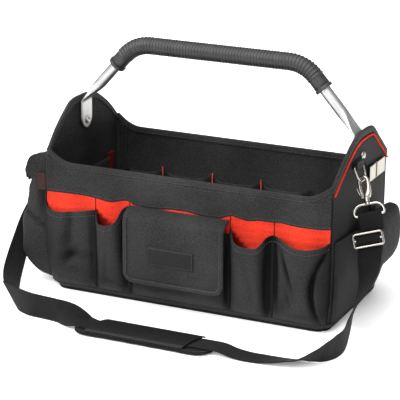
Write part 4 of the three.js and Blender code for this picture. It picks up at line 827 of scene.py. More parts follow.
seam_cloth = cloth_look("seam_binding", (0.002, 0.002, 0.002), (0.008, 0.008, 0.008), 1.2, 1.2)
for number, (x, high) in enumerate(SEAMS, 1):
    ends = np.clip(np.minimum(np.arange(40), np.arange(40)[::-1]) / 2 + 0.4, 0, 1)
    path = front(x, np.linspace(POCKET_FOOT + 0.5, high, 40), pocket_base - 0.2)
    seam = tube(f"pocket_seam_{number}", path, 2.6, 5.0, flat=(1, 0, 0), taper=ends)
    fitted(seam, seam_cloth, "black_cloth", body="bag")
bars = [front(x, np.linspace(low, high, 8), lining_face + 0.7) for x, low, high in BARS]
stitches("pocket_bars", bars, pitch=1.6, length=2.0, thread=1.5, look=seam_cloth)
for side, end in ENDS:
    path = soft_corner(spots(side * (HALF + 0.4), -(DEEP + 1.2), np.linspace(LOW, CORNER_SEAM_TOP, 60)))
    seam = tube(end + "_corner_seam", path, 3.0, 3.0, flat=(1, 0, 0))
    fitted(seam, seam_cloth, "black_cloth", body="bag")

# Middle flap
# The widest pocket is closed by a flap that rolls out from under the band. Its free edge is bound
# with tape and sewn, and a bare patch of smooth vinyl is sewn to its middle.
FLAP_LEFT, FLAP_RIGHT, FLAP_TOP, FLAP_LOW = -96, 80, 168, 47
FLAP_MIDDLE, FLAP_HALF = -8, 88
FLAP_CLOTH, FLAP_STAND, FLAP_CORNER, FLAP_ROLL = 2.4, 25.1, 17, 20
EDGE_TAPE_START, EDGE_SEAM = 6, 5.6
PATCH_X, PATCH_Z, PATCH_HALF, PATCH_TALL, PATCH_SEAM = -11, 97, 41, 15, 2


def flap_stand(x, z):
    """How far the flap stands off the wall's face."""
    down = np.clip((FLAP_TOP - z) / FLAP_ROLL, 0, 1)
    side = np.abs(x - FLAP_MIDDLE) / FLAP_HALF
    sag = 0.8 * np.sin((z - FLAP_LOW) / 34) * np.cos((x - FLAP_MIDDLE) / 41) * ease((FLAP_TOP - z) / 40)
    roll = FLAP_STAND * np.sqrt(np.maximum(1 - (1 - down) ** 2, 0))
    return lining_face + LAYER + FLAP_CLOTH / 4 + roll * (1 - 0.06 * side ** 6) + sag


def flap_foot(x):
    """Height of the flap's lower edge, with its rounded corners."""
    past = np.maximum(np.abs(x - FLAP_MIDDLE) - (FLAP_HALF - FLAP_CORNER), 0)
    return FLAP_LOW + FLAP_CORNER - np.sqrt(np.maximum(FLAP_CORNER ** 2 - past ** 2, 0))


def on_flap(x, z, stand):
    """Places that stand off the flap."""
    return front(x, z, flap_stand(x, z) + LAYER + stand)


def edge_bend(side, a):
    """A place on a rounded corner of the flap, and the way in from it."""
    c, s = math.cos(a), math.sin(a)
    start = FLAP_LEFT if side < 0 else FLAP_RIGHT
    return start - side * FLAP_CORNER * (1 - c), FLAP_LOW + FLAP_CORNER * (1 - s), -side * c, s


u, v = grid((1 - np.cos(np.linspace(0, math.pi, 61))) / 2, spread((0, 0.18, 18), (0.18, 1, 44)))
x = FLAP_LEFT + (FLAP_RIGHT - FLAP_LEFT) * u
z = FLAP_TOP + (flap_foot(x) - FLAP_TOP) * v
flap = cloth("front_flap", front(x, z, flap_stand(x, z)), FLAP_CLOTH, (0, -1, 0))
declared(fitted(flap, black_cloth, "black_cloth", "front_flap"), "hung", "flap_pocket")

turns = np.radians(np.linspace(0, 90, 10))
sides = np.linspace(FLAP_TOP - EDGE_TAPE_START, FLAP_LOW + FLAP_CORNER, 26)
across = np.linspace(FLAP_LEFT + FLAP_CORNER, FLAP_RIGHT - FLAP_CORNER, 36)
edge = [(FLAP_LEFT, z, 1, 0) for z in sides] + [edge_bend(-1, a) for a in turns[1:]]
edge += [(x, FLAP_LOW, 0, 1) for x in across[1:]] + [edge_bend(1, a) for a in turns[::-1][1:]]
edge += [(FLAP_RIGHT, z, -1, 0) for z in sides[::-1][1:]]
edge = np.array(edge)
reach = np.array([-0.6, 0.0, 1.5, 3.5, 5.5, 7.0])
crown = np.array([-1.4, 0.2, 0.6, 0.6, 0.5, 0.1])
x, z = edge[:, :1] + edge[:, 2:3] * reach, edge[:, 1:2] + edge[:, 3:] * reach
inside_x = np.clip(x, FLAP_LEFT, FLAP_RIGHT)
under = flap_stand(inside_x, np.maximum(z, flap_foot(inside_x)))
tape = cloth("flap_edge_tape", front(x, z, under + LAYER + 1.0 + crown - 0.4), 1, (0, -1, 0))
fitted(tape, tape_cloth, "black_cloth", "flap_tape")
x, z = edge[:, 0] + edge[:, 2] * EDGE_SEAM, edge[:, 1] + edge[:, 3] * EDGE_SEAM
stitches("flap_stitches", [on_flap(x, z, 1.25)])


def smooth_look(name, low, high, mottle, sheen_scale, rough, grain, gloss=0.5):
    """A moulded look from low to high colour, with the scales of its mottle, its gloss and its grain."""
    look, tree, shader = plain_look(name, {"Specular IOR Level": gloss})
    place = tree.nodes.new("ShaderNodeTexCoord").outputs["Object"]
    tree.links.new(mixed(tree, low, high, noise(tree, place, mottle, 4.0)), shader["Base Color"])
    tree.links.new(scaled(tree, noise(tree, place, sheen_scale), 0.3, rough), shader["Roughness"])
    tree.links.new(bumped(tree, noise(tree, place, grain), 0.0002), shader["Normal"])
    return look


patch_look = smooth_look(
    "patch_vinyl", (0.003, 0.003, 0.003), (0.008, 0.008, 0.0085), 260, 90, 0.4, 700, gloss=0.2)
u, v = grid(np.linspace(-PATCH_HALF, PATCH_HALF, 40), np.linspace(-PATCH_TALL, PATCH_TALL, 18))
rise = 0.5 * ease((PATCH_HALF - np.abs(u)) / 2.5) * ease((PATCH_TALL - np.abs(v)) / 2.5)
x, z = PATCH_X + u, PATCH_Z + v
patch = cloth("flap_patch", front(x, z, flap_stand(x, z) + LAYER + 0.7 + rise), 1.2, (0, -1, 0))
declared(fitted(patch, patch_look, "black_cloth", "flap_label"), "stretched", "front_flap")
left, right = PATCH_X - PATCH_HALF + PATCH_SEAM, PATCH_X + PATCH_HALF - PATCH_SEAM
low, high = PATCH_Z - PATCH_TALL + PATCH_SEAM, PATCH_Z + PATCH_TALL - PATCH_SEAM
around = [(x, low) for x in np.linspace(left, right, 20)]
around += [(right, z) for z in np.linspace(low, high, 8)[1:]]
around += [(x, high) for x in np.linspace(right, left, 20)[1:]]
around += [(left, z) for z in np.linspace(high, low, 8)[1:-1]]
x, z = np.array(around).T
stitches("patch_stitches", [on_flap(x, z, 1.2)], closed=True, thread=0.6, pitch=3.4, length=2.4)

# End pockets, their flaps and the side tag
# A deep boxy pocket fills the left end and a lower one the right end, each under a soft flap that
# rolls over its mouth. A small bare tag of ribbon is sewn into the left pocket's front seam.
END_CLOTH, END_FLAP_CLOTH, TAG_CLOTH = 2, 2.2, 0.8
# name, side, front and back seam, mouth, then the stand at shares of the height, and how much of it
# is left at shares of the way from front to back
END_POCKETS = [
    ("left_end_pocket", -1, -116, -6, 186,
     [(0, 2), (0.02, 24), (0.06, 38), (0.13, 51), (0.24, 59), (0.5, 59), (0.68, 52), (0.85, 45), (1, 38)],
     [(0, 0), (0.02, 0.5), (0.06, 0.88), (0.14, 0.99), (0.5, 1), (0.84, 0.97), (0.94, 0.72), (1, 0)]),
    ("right_end_pocket", 1, -113, 88, 150,
     [(0, 0), (0.09, 5), (0.26, 13), (0.43, 21), (0.54, 26.5), (0.7, 31), (0.87, 31), (1, 28)],
     [(0, 0), (0.05, 0.1), (0.21, 0.14), (0.37, 0.3), (0.53, 0.7), (0.64, 1), (0.9, 1), (0.96, 0.7),
      (1, 0)]),
]
# name, side, front and back edge, how far it sinks towards the back, the cheek it is turned down at
# in front as a share of its width, the cheek's depth, its crumples, then stand and height on the way
# over the mouth
END_FLAPS = [
    ("left_end_flap", -1, -110, -40, 10, 0.16, 4, 2.0,
     [(-2.2, 214), (9, 223), (26, 225), (38, 219), (46, 208), (48.5, 197), (46, 187), (42.4, 179)]),
    ("right_end_flap", 1, -6, 84, 0, 0.07, 60, 0.35,
     [(-2.2, 150), (8, 158), (20, 164), (30, 162), (36.4, 152), (39, 131), (38.2, 107), (34.5, 88),
      (28, 74)]),
]


def on_end(side, y, z, stand):
    """Places on an end wall's bowed face, standing off it."""
    return soft_corner(spots(side * (end_face(y, z) + stand), y, z))


for name, side, near, far, mouth, stands, level in END_POCKETS:
    u, v = grid(spread((0, 0.08, 10), (0.08, 0.9, 40), (0.9, 1, 10)), spread((0, 0.1, 12), (0.1, 1, 50)))
    y, z = near + (far - near) * u, POCKET_FOOT + (mouth - POCKET_FOOT) * v
    full = graph(stands, v) * graph(level, u)
    crease = 1.3 * np.sin(y / 9 + z / 14) * np.sin(z / 27 - y / 40)
    crease = crease + 1.1 * np.exp(-((z - 92 + 0.7 * y) / 5) ** 2)
    # On the left pocket, painted shade darkens the upper parts of its cheeks, where it turns in to its seams,
    # and a slanting crease in front.
    slanting = np.exp(-((z - 98 - 0.6 * full) / 5) ** 2) * ease((0.2 - u) / 0.05) * (side < 0)
    shaded = 0.9 * ease((v - 0.5) / 0.3) * ease((28 - full) / 12) * ease(full / 3) * (side < 0)
    shaded = shaded + 0.7 * slanting
    full = full + (crease - 3 * slanting) * np.clip(full / 30, 0, 1)
    points = on_end(side, y, z, LAYER + END_CLOTH + np.maximum(full, 0))
    pocket = cloth(name, points, END_CLOTH, (side, 0, 0), painted_shade=shaded)
    declared(fitted(pocket, black_cloth, "black_cloth", name), "stretched", "shell")

for name, side, near, far, sink, cheek, cheek_drop, crumpled, route in END_FLAPS:
    last = len(route) - 1
    u, v = grid(np.linspace(-cheek, 1, 48), np.linspace(0, last, 64))
    turned_down = ease(-u / cheek)
    u = np.maximum(u, 0)
    reach = graph([(i, out) for i, (out, _) in enumerate(route)], v)
    z = graph([(i, up) for i, (_, up) in enumerate(route)], v) - sink * u
    z = z - turned_down * np.maximum(z - (route[-1][1] + cheek_drop), 0)
    y = near + (far - near) * u - 0.3 * turned_down
    crumple = 0.7 * np.sin(u * 9 + v * 1.1) * np.sin(v * 1.6 + u * 4) + 0.5 * np.sin(u * 21 - v * 2.1)
    crumple = crumpled * crumple * ease((v - 0.6) / 1.2) * ease((last - v) / 1.5)
    reach = reach * (1 - 0.02 * np.abs(2 * u - 1) ** 4) * (1 - 0.08 * turned_down) + crumple
    flap = cloth(name, on_end(side, y, z, LAYER + END_FLAP_CLOTH + reach), END_FLAP_CLOTH, (side, 0, 1.2))
    declared(fitted(flap, black_cloth, "black_cloth", name), "hung", name.replace("flap", "pocket"))

tag_low, tag_high = np.array(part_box("side_tag")) * 1000
x, z = grid(np.linspace(tag_low[0], tag_high[0], 12), np.linspace(tag_low[2], tag_high[2], 20))
y = tag_low[1] + 0.25 * np.sin((z - tag_low[2]) / 9)
tag = cloth("side_tag_ribbon", spots(x, y, z), TAG_CLOTH, (0, -1, 0))
tag_look = cloth_look("tag_ribbon", (0.015, 0.006, 0.006), (0.075, 0.034, 0.034), 0.7, 0.7)
declared(fitted(tag, tag_look, "black_cloth", "side_tag"), "stretched", "left_end_pocket")

# End piping and patches
# A red cord runs in a chevron under the rim of each end panel, and a patch of cloth below it
# strengthens the panel where the handle's rivet and the ring's tab are fixed.
CORD, CORD_DOWN, CORD_GAP = 3.2, 13, 2.835
PATCH_CLOTH, PATCH_FRONT, PATCH_BACK = 1.2, -54, 102
PATCH_LOW_FRONT, PATCH_LOW_BACK = 263, 236
for side, end in ENDS:
    y = np.linspace(-SIDE_Y + (14 if side < 0 else 0), SIDE_Y, 90)
    path = spots(side * (HALF + LAYER + CORD / 2), y, end_rim(side, y) - CORD_DOWN)
    made = tube(end + "_red_cord", path, CORD, CORD, flat=(1, 0, 0))
    fitted(made, red_cloth, "red_cloth", end + "_piping")
    places = np.sort(side * np.linspace(PATCH_FRONT, PATCH_BACK, 60))
    y, v = grid(places, np.linspace(0, 1, 14))
    low = PATCH_LOW_FRONT + (PATCH_LOW_BACK - PATCH_LOW_FRONT) * ease((side * y + 6) / 36)
    high = np.maximum(end_rim(side, y) - CORD_DOWN - CORD_GAP, low + 2)
    points = spots(side * (HALF + LAYER + PATCH_CLOTH), y, low + (high - low) * v)
    patch = cloth(end + "_patch_cloth", points, PATCH_CLOTH, (side, 0, 0))
    declared(fitted(patch, black_cloth, "black_cloth", end + "_patch"), "stretched", "shell")
    line = spots(side * (HALF + LAYER + PATCH_CLOTH + 0.15), places, low[:, 0] + 3)
    stitches(end + "_patch_stitches", [line])

# Handle
# One bright aluminium tube bent to a wide arch. Both its ends are pressed flat and hang inside the
# end panels. A ribbed rubber grip with a smooth collar at each end covers the top.
PIVOT, TUBE, PLATE_THICK, PLATE_WIDE = 262, 19, 4, 35
PLATE_X = HALF - WALL - 2 - PLATE_THICK / 2
PLATE_LOW, PLATE_FOLD = PIVOT - 13.5, PIVOT + 35
GRIP_TOP, GRIP_CORNER, BEND, FLARE, GRIP_LEG = 401, 150, 60, 46, 25
GRIP_ROUND, GRIP_BORE = 13.6, 10
RIB_PITCH, RIB_HOOP, RIB_BEAD = 5.4, 12.4, 2.4
SIDEWAYS = np.array([0, 1, 0])


def metal_look(name, tone, deep, rough, brushed):
    """Bare metal from deep to tone colour, with its brushing drawn out by a scale for each axis."""
    look, tree, shader = plain_look(name, {"Metallic": 1})
    place = tree.nodes.new("ShaderNodeTexCoord").outputs["Object"]
    stretch = tree.nodes.new("ShaderNodeMapping")
    stretch.inputs["Scale"].default_value = brushed
    tree.links.new(place, stretch.inputs["Vector"])
    grain = noise(tree, stretch.outputs[0], 60, 4.0)
    cloud = noise(tree, place, 35, 4.0)
    tarnish = scaled(tree, cloud, 1.1, scaled(tree, grain, 0.6, -0.15))
    scuffs = scaled(tree, grain, 0.12, scaled(tree, cloud, 0.12, rough - 0.1))
    tree.links.new(mixed(tree, deep, tone, tarnish), shader["Base Color"])
    tree.links.new(scuffs, shader["Roughness"])
    tree.links.new(bumped(tree, grain, 0.0001, 0.4), shader["Normal"])
    return look


def section(across, sideways, power, sides=28):
    """An outline between a circle and a box, from its two half sizes."""
    c, s = np.cos(circle(sides)), np.sin(circle(sides))
    return across * np.sign(c) * np.abs(c) ** (2 / power), sideways * np.sign(s) * np.abs(s) ** (2 / power)


def across_of(path, closed=False):
    """The way square to a path in the plane y = 0 at each of its places."""
    ahead = np.roll(path, -1, axis=0) - np.roll(path, 1, axis=0) if closed else np.gradient(path, axis=0)
    ahead /= np.linalg.norm(ahead, axis=1, keepdims=True)
    return np.cross(ahead, SIDEWAYS)


fold_at, corner_at = np.array([PLATE_X, 0, PLATE_FOLD]), np.array([GRIP_CORNER, 0, GRIP_TOP])
leg = (corner_at - fold_at) / np.linalg.norm(corner_at - fold_at)
turn = math.acos(-leg[0])
bend_start = corner_at - leg * BEND * math.tan(turn / 2)
bend_middle = bend_start + np.array([-leg[2], 0, leg[0]]) * BEND
flip = np.array([-1, 1, 1])


def bend_at(share):
    """A place on the arch's right bend."""
    a = -turn * share
    dx, _, dz = bend_start - bend_middle
    c, s = math.cos(a), math.sin(a)
    return bend_middle + np.array([dx * c + dz * s, 0, -dx * s + dz * c])


# middle, half size across and half size sideways of the tube, and how square it is, up the right leg
plate, half_plate, half_tube = PLATE_THICK / 2, PLATE_WIDE / 2, TUBE / 2
rows = [
    (np.array([PLATE_X, 0, PLATE_LOW + half_plate * (1 - math.cos(a))]), plate, half_plate * math.sin(a), 9)
    for a in np.radians([10, 20, 32, 46, 60, 75])]
rows += [
    (np.array([PLATE_X, 0, z]), plate, half_plate, 9)
    for z in np.linspace(PLATE_LOW + half_plate, PLATE_FOLD, 8)]
for share in np.linspace(0.08, 1, 14):
    flat = float(ease(1 - share))
    across, sideways = half_tube * (1 - flat) + plate * flat, half_tube * (1 - flat) + half_plate * flat
    rows.append((fold_at + leg * FLARE * share, across, sideways, 2 + 2 * flat))
run = np.linalg.norm(bend_start - (fold_at + leg * FLARE))
rows += [(fold_at + leg * (FLARE + run * share), half_tube, half_tube, 2) for share in (0.3, 0.6, 0.9)]
rows += [(bend_at(share), half_tube, half_tube, 2) for share in np.linspace(0, 1, 12)]
rows += [(at * flip, *sizes) for at, *sizes in rows[::-1]]
rings = []
for (at, *sizes), out in zip(rows, across_of(np.array([row[0] for row in rows]))):
    a, s = section(*sizes)
    rings.append(at + out * a[:, None] + SIDEWAYS * s[:, None])
aluminium = metal_look("bare_aluminium", (0.6, 0.59, 0.585), (0.4, 0.4, 0.4), 0.4, (1, 8, 1))
fitted(loft("handle_arch", rings, crisp=50), aluminium, "handle_tube", "handle_tube")

# distance up the leg and radius of the grip's end: collar, groove, then sleeve
COLLAR = [
    (0, 14.4), (0.5, 15.1), (4.6, 15.25), (5.2, 15.0), (5.6, 13.2), (6.4, 13.2), (7.2, 13.9),
    (12, GRIP_ROUND), (18, GRIP_ROUND),
]
rubber = smooth_look("grip_rubber", (0.007, 0.007, 0.007), (0.026, 0.0255, 0.025), 55, 30, 0.3, 900)
half_grip = [(bend_start - leg * (GRIP_LEG - up), radius) for up, radius in COLLAR]
half_grip += [(bend_at(share), GRIP_ROUND) for share in np.linspace(0, 1, 14)]
grip = half_grip + [(at * flip, radius) for at, radius in half_grip[::-1]]
c, s = np.cos(circle(36))[:, None], np.sin(circle(36))[:, None]
outs = across_of(np.array([at for at, _ in grip]))
outer = [at + out * radius * c + SIDEWAYS * radius * s for (at, radius), out in zip(grip, outs)]
inner = [at + out * GRIP_BORE * c + SIDEWAYS * GRIP_BORE * s for (at, _), out in zip(grip, outs)]
sleeve = loft("grip_sleeve", outer + inner[::-1], closed=True, crisp=50)
fitted(sleeve, rubber, "grip_rubber", "handle_grip")


def rib_shape(tree, given):
    """One rib, a hoop of round section."""
    hoop = tree.nodes.new("GeometryNodeCurvePrimitiveCircle")
    hoop.inputs["Resolution"].default_value = 40
    tree.links.new(given["Hoop"], hoop.inputs["Radius"])
    bead = tree.nodes.new("GeometryNodeCurvePrimitiveCircle")
    bead.inputs["Resolution"].default_value = 8
    tree.links.new(given["Bead"], bead.inputs["Radius"])
    swept = tree.nodes.new("GeometryNodeCurveToMesh")
    tree.links.new(hoop.outputs["Curve"], swept.inputs["Curve"])
    tree.links.new(bead.outputs["Curve"], swept.inputs["Profile Curve"])
    return swept.outputs["Mesh"]


rib_tree = repeat_tree("grip_ribs", ["Pitch", "Hoop", "Bead"], rib_shape)
rib_path = np.array([bend_at(share) for share in np.linspace(0, 1, 30)])
middle_path = np.linspace(rib_path[-1], rib_path[-1] * flip, 60)[1:-1]
rib_line = np.concatenate([rib_path, middle_path, (rib_path * flip)[::-1]])
ribs = repeated("grip_rib_rings", rib_tree, [rib_line], False, rubber,
                Pitch=RIB_PITCH, Hoop=RIB_HOOP, Bead=RIB_BEAD)
fitted(ribs, rubber, "grip_rubber", body=carriers["handle_grip"])

# Rivets
# Each end of the tube hangs on one steel rivet: a domed head outside, a shaft through the panel with
# a washer against the cloth, and a small flat head with a groove inside.
SHAFT, WASHER, HEAD, DOME = 3, 9, 7.5, 3.6
steel = metal_look("nickel_steel", (0.46, 0.435, 0.39), (0.22, 0.205, 0.18), 0.24, (1, 1, 1))
head_base, inner_head = HALF + LAYER + PATCH_CLOTH + 0.3, PLATE_X - PLATE_THICK / 2 - 0.3
cloth_face = HALF - WALL
# radius and place along the rivet, from its inner head outwards
rivet_rows = [
    (0.8, inner_head - 0.4), (2.2, inner_head - 0.3), (2.6, inner_head - 1.2), (3.4, inner_head - 1.2),
    (3.8, inner_head - 0.4), (5, inner_head - 0.4), (5.4, inner_head - 1.2), (6.4, inner_head - 1.0),
    (7, inner_head), (SHAFT, inner_head), (SHAFT, cloth_face - 1.7), (WASHER, cloth_face - 1.7),
    (WASHER, cloth_face - 0.3), (SHAFT, cloth_face - 0.3), (SHAFT, head_base), (HEAD - 0.3, head_base),
    (HEAD, head_base + 0.4),
]
rivet_rows += [
    (HEAD * math.cos(a), head_base + 0.4 + DOME * math.sin(a)) for a in np.radians([15, 30, 45, 60, 75, 86])]


def lathe(rows, place, sides=48):
    """Rings from rows of (radius, place along X), turned about X."""
    a = circle(sides)
    return np.array([spots(along, radius * np.cos(a), radius * np.sin(a)) for radius, along in rows]) + place


for side, end in ENDS:
    rings = lathe(rivet_rows, (0, 0, PIVOT)) * np.array([side, side, 1])
    fitted(loft(end + "_rivet_turned", rings, crisp=35), steel, "steel", end + "_rivet")

# Strap fittings
# At each end a folded tab of webbing holds a U-shaped ring. A cast snap hook with a sprung gate hangs
# in it, and its swivel carries a wide wire bow for the strap. All of it is nickelled steel.
WEB, WEB_WIDE = 2, 38
TAB_HALF, TAB_UP = 16, 9
RING_WIRE, RING_SPAN, RING_DROP, RING_TOP, RING_TILT = 3.6, 18.8, 24, 253, 20
HOOK_BAR, HOOK_ARC, HOOK_LONG, HOOK_TIP, SWIVEL_TALL = 4.4, 7, 34, 5, 7
BOW_WIRE, BOW_TALL, BOW_INNER = 4.2, 21, 43
RING_BAR_X = HALF + LAYER + WEB + LAYER + RING_WIRE / 2
PIN_X, PIN_Z = -HOOK_ARC + 1.6, SWIVEL_TALL + 5.6
HOOK_MOUTH = HOOK_LONG - HOOK_TIP
# height, edge towards the gate, edge away from it and half depth of the cast body's sections
HOOK_BODY = [
    (6, -4, 5.5, 3.4), (7.4, -5.2, 7.2, 4.2), (12, -4, 8.8, 4.7), (17, -0.2, 9.7, 4.5), (23, 2.8, 9.9, 4),
    (29, 4.2, 9.7, 3.4), (34, 4.7, 9.4, 2.8),
]
# radius and height of the swivel's barrel and of the bow's boss under it
BARREL = [
    (3.4, 0), (4.3, 0.4), (4.5, 1), (4.5, 2.4), (4.1, 2.8), (4.1, 4.2), (4.5, 4.6), (4.5, 6.2), (4.0, 7),
]
BOSS = [(3.4, -4.3), (4.4, -3.8), (4.2, -2.2), (3.7, -0.8), (3.4, -0.3)]
# end, side, place along the end wall, the way the hook hangs and the way its bow lies
FITTINGS = [
    ("left", -1, 27, (-0.5, -0.05, -0.86), (0.3, 0.95, 0)),
    ("right", 1, -27, (0.378, -0.414, -0.829), (0.889, 0.407, 0.208)),
]
webbing_cloth = cloth_look(
    "strap_webbing", (0.0015, 0.0015, 0.0016), (0.012, 0.012, 0.0125), 2.4, 1.5,
    rough=0.55, dent=0.6, crease=1.5, sheen=0.03)


def unit(way):
    """A way of length one."""
    way = np.asarray(way, float)
    return way / np.linalg.norm(way)


def square_to(wanted, axis):
    """The way nearest to the wanted one that is square to an axis."""
    axis = unit(axis)
    wanted = np.asarray(wanted, float)
    return unit(wanted - axis * (wanted @ axis))


def frame_of(origin, up, wanted):
    """A place with its own three axes, for the pieces that hang askew."""
    z = unit(up)
    x = square_to(wanted, z)
    return np.asarray(origin, float), np.stack([x, np.cross(z, x), z])


def placed(points, where):
    """Where the points of a placed frame lie."""
    origin, axes = where
    return origin + np.asarray(points, float) @ axes


def rounded(corners, steps=10):
    """A closed outline in the plane y = 0 with its corners rounded, from rows of (x, z, radius)."""
    out = []
    for i, (x, z, radius) in enumerate(corners):
        at = np.array([x, z], float)
        before, after = corners[i - 1][:2], corners[(i + 1) % len(corners)][:2]
        before, after = unit(np.array(before) - at), unit(np.array(after) - at)
        angle = math.acos(np.clip(before @ after, -1, 1)) / 2
        centre = at + unit(before + after) * radius / math.sin(angle)
        first = at + before * radius / math.tan(angle) - centre
        last = at + after * radius / math.tan(angle) - centre
        sweep = math.atan2(first[0] * last[1] - first[1] * last[0], first @ last)
        for t in np.linspace(0, 1, steps + 1):
            c, s = math.cos(sweep * t), math.sin(sweep * t)
            p = centre + np.array([first[0] * c - first[1] * s, first[0] * s + first[1] * c])
            out.append((p[0], 0, p[1]))
    return np.array(out)


def wire_rings(path, diameter, closed=False, sides=14, broad=1.0):
    """Sections along a path in the plane y = 0, round or broad across it."""
    path = np.asarray(path, float)
    across = across_of(path, closed)
    a = circle(sides)
    broadside = np.array([0, broad, 0]) * np.sin(a)[None, :, None]
    return path[:, None] + diameter / 2 * (across[:, None] * np.cos(a)[None, :, None] + broadside)


def wire(name, path, diameter, where, closed=False, **form):
    """A wire along a path in a placed frame."""
    rings = placed(wire_rings(path, diameter, closed, **form), where)
    return loft(name, rings, closed=closed, crisp=70 if closed else 60)


def bent(points, count):
    """A smooth path of count points through a few."""
    points = np.asarray(points, float)
    far = np.concatenate([[0], np.cumsum(np.linalg.norm(np.diff(points, axis=0), axis=1))])
    at = np.linspace(0, far[-1], count)
    return np.stack([graph(list(zip(far, points[:, k])), at) for k in range(3)], axis=1)


def joined(name, parts):
    """Several closed meshes as one piece."""
    bpy.ops.object.select_all(action="DESELECT")
    for part in parts:
        part.select_set(True)
    bpy.context.view_layer.objects.active = parts[0]
    bpy.ops.object.join()
    parts[0].name = parts[0].data.name = name
    return parts[0]


def block(name, low, high, where, ease_by=0.6):
    """A plate with softened edges, between two corners of a placed frame."""
    xs, ys, zs = zip(low, high)
    corners = np.array([(x, y, z) for x in xs for y in ys for z in zs], float)
    faces = [(0, 1, 3, 2), (4, 6, 7, 5), (0, 4, 5, 1), (2, 3, 7, 6), (0, 2, 6, 4), (1, 5, 7, 3)]
    made = solid(name, placed(corners, where), faces, [[(0, 0), (1, 0), (1, 1), (0, 1)]] * 6)
    bevel = made.modifiers.new("edges", "BEVEL")
    bevel.width, bevel.segments = ease_by / 1000, 3
    softened = settled(made)
    made.modifiers.remove(bevel)
    made.data = softened
    return made


def turned(name, rows, where, sides=32):
    """A shape turned about a placed frame's upright axis, from rows of (radius, height)."""
    c, s = np.cos(circle(sides)), np.sin(circle(sides))
    rings = [placed(spots(radius * c, radius * s, height), where) for radius, height in rows]
    return loft(name, rings, crisp=35)


chains = {}
for end, side, y, lean, bow in FITTINGS:
    tilt = math.radians(RING_TILT)
    ring_top = np.array([side * RING_BAR_X, y, RING_TOP], float)
    ring_up = np.array([-side * math.sin(tilt), 0, math.cos(tilt)])
    lean = unit(lean)
    hang = HOOK_ARC - (HOOK_BAR + RING_WIRE) / 2 - 0.8
    hook_foot = ring_top - ring_up * RING_DROP + lean * (HOOK_LONG + hang)
    bow_way = square_to(bow, lean)
    bow_foot = hook_foot + lean * BOW_TALL
    chains[end] = (bow_way, bow_foot)

    outer, inner = RING_WIRE / 2 + LAYER + WEB, RING_WIRE / 2 + LAYER
    bends = np.linspace(math.pi, 2 * math.pi, 15)
    profile = [(-outer, TAB_UP)] + [(outer * math.cos(a), outer * math.sin(a)) for a in bends]
    profile += [(outer, TAB_UP), (inner, TAB_UP)]
    profile += [(inner * math.cos(a), inner * math.sin(a)) for a in bends[::-1]] + [(-inner, TAB_UP)]
    out, up = np.array(profile).T
    tab = [spots(side * RING_BAR_X + out, y + w, RING_TOP + up) for w in np.linspace(-TAB_HALF, TAB_HALF, 17)]
    fitted(loft(end + "_tab_webbing", tab, crisp=50), webbing_cloth, "webbing", end + "_ring_tab")

    where = frame_of(ring_top, ring_up, (0, 1, 0))
    outline = rounded([
        (-RING_SPAN, 0, 2.5), (RING_SPAN, 0, 2.5),
        (RING_SPAN - 4, -RING_DROP, 11), (-RING_SPAN + 4, -RING_DROP, 11)])
    fitted(wire(end + "_u_ring", outline, RING_WIRE, where, closed=True), steel, "steel", end + "_ring")

    where = frame_of(hook_foot, -lean, (side, 0, 0))
    stem = bent([
        (1, 0, SWIVEL_TALL - 1), (3.5, 0, SWIVEL_TALL + 3), (HOOK_ARC, 0, SWIVEL_TALL + 11),
        (HOOK_ARC, 0, HOOK_LONG - 4)], 18)
    arc = [
        (HOOK_ARC * math.cos(a), 0, HOOK_LONG + HOOK_ARC * math.sin(a))
        for a in np.linspace(0, math.pi, 22)]
    nose = [(-HOOK_ARC, 0, HOOK_MOUTH + 1.5), (-HOOK_ARC, 0, HOOK_MOUTH)]
    body = []
    for z, left, right, deep in HOOK_BODY:
        a, b = section((right - left) / 2, deep, 3)
        body.append(placed(spots((left + right) / 2 + a, b, z), where))
    parts = [
        wire("bar", np.concatenate([stem, arc, nose]), HOOK_BAR * 1.25, where, broad=1.15),
        loft("body", body, crisp=50),
        turned("barrel", BARREL, where),
        block("seat", (PIN_X - 2.1, -3.8, SWIVEL_TALL - 0.4), (PIN_X + 8.9, 3.8, SWIVEL_TALL + 2), where),
    ]
    for ear in (-3.2, 3.2):
        low, high = (PIN_X - 2.5, ear - 0.6, SWIVEL_TALL + 1), (PIN_X + 2.5, ear + 0.6, SWIVEL_TALL + 7)
        parts.append(block("ear", low, high, where, 0.5))
    fitted(joined(end + "_snap_hook", parts), steel, "steel", end + "_hook")

    top = HOOK_MOUTH - 0.8
    leaf = bent([
        (PIN_X, 0, PIN_Z), (-HOOK_ARC + 0.4, 0, PIN_Z + 0.4 * (top - PIN_Z)), (-HOOK_ARC, 0, top)], 12)
    thumb = bent([
        (PIN_X + 0.6, 0, SWIVEL_TALL + 0.5), (PIN_X - 3.4, 0, PIN_Z + 1),
        (PIN_X - 7, 0, PIN_Z + 11.5)], 12)
    _, (across, deep, up) = where
    pin_where = placed([(PIN_X, 0, PIN_Z)], where)[0], np.stack([across, up, -deep])
    parts = [
        wire("leaf", leaf, 4.2, where, sides=12, broad=1.9),
        wire("thumb", thumb, 2.6, where, sides=12, broad=1.9),
        turned("hub", [(1.9, -2.3), (2.4, -1.9), (2.4, 1.9), (1.9, 2.3)], pin_where, 24),
    ]
    fitted(joined(end + "_sprung_gate", parts), steel, "steel", end + "_hook_gate")

    where = frame_of(hook_foot, -lean, bow_way)
    reach = BOW_INNER / 2 + BOW_WIRE / 2
    outline = rounded([(-reach, -BOW_TALL, 3.5), (reach, -BOW_TALL, 3.5), (reach, -3, 13), (-reach, -3, 13)])
    parts = [wire("loop", outline, BOW_WIRE, where, closed=True), turned("boss", BOSS, where)]
    fitted(joined(end + "_swivel_bow", parts), steel, "steel", end + "_bow")

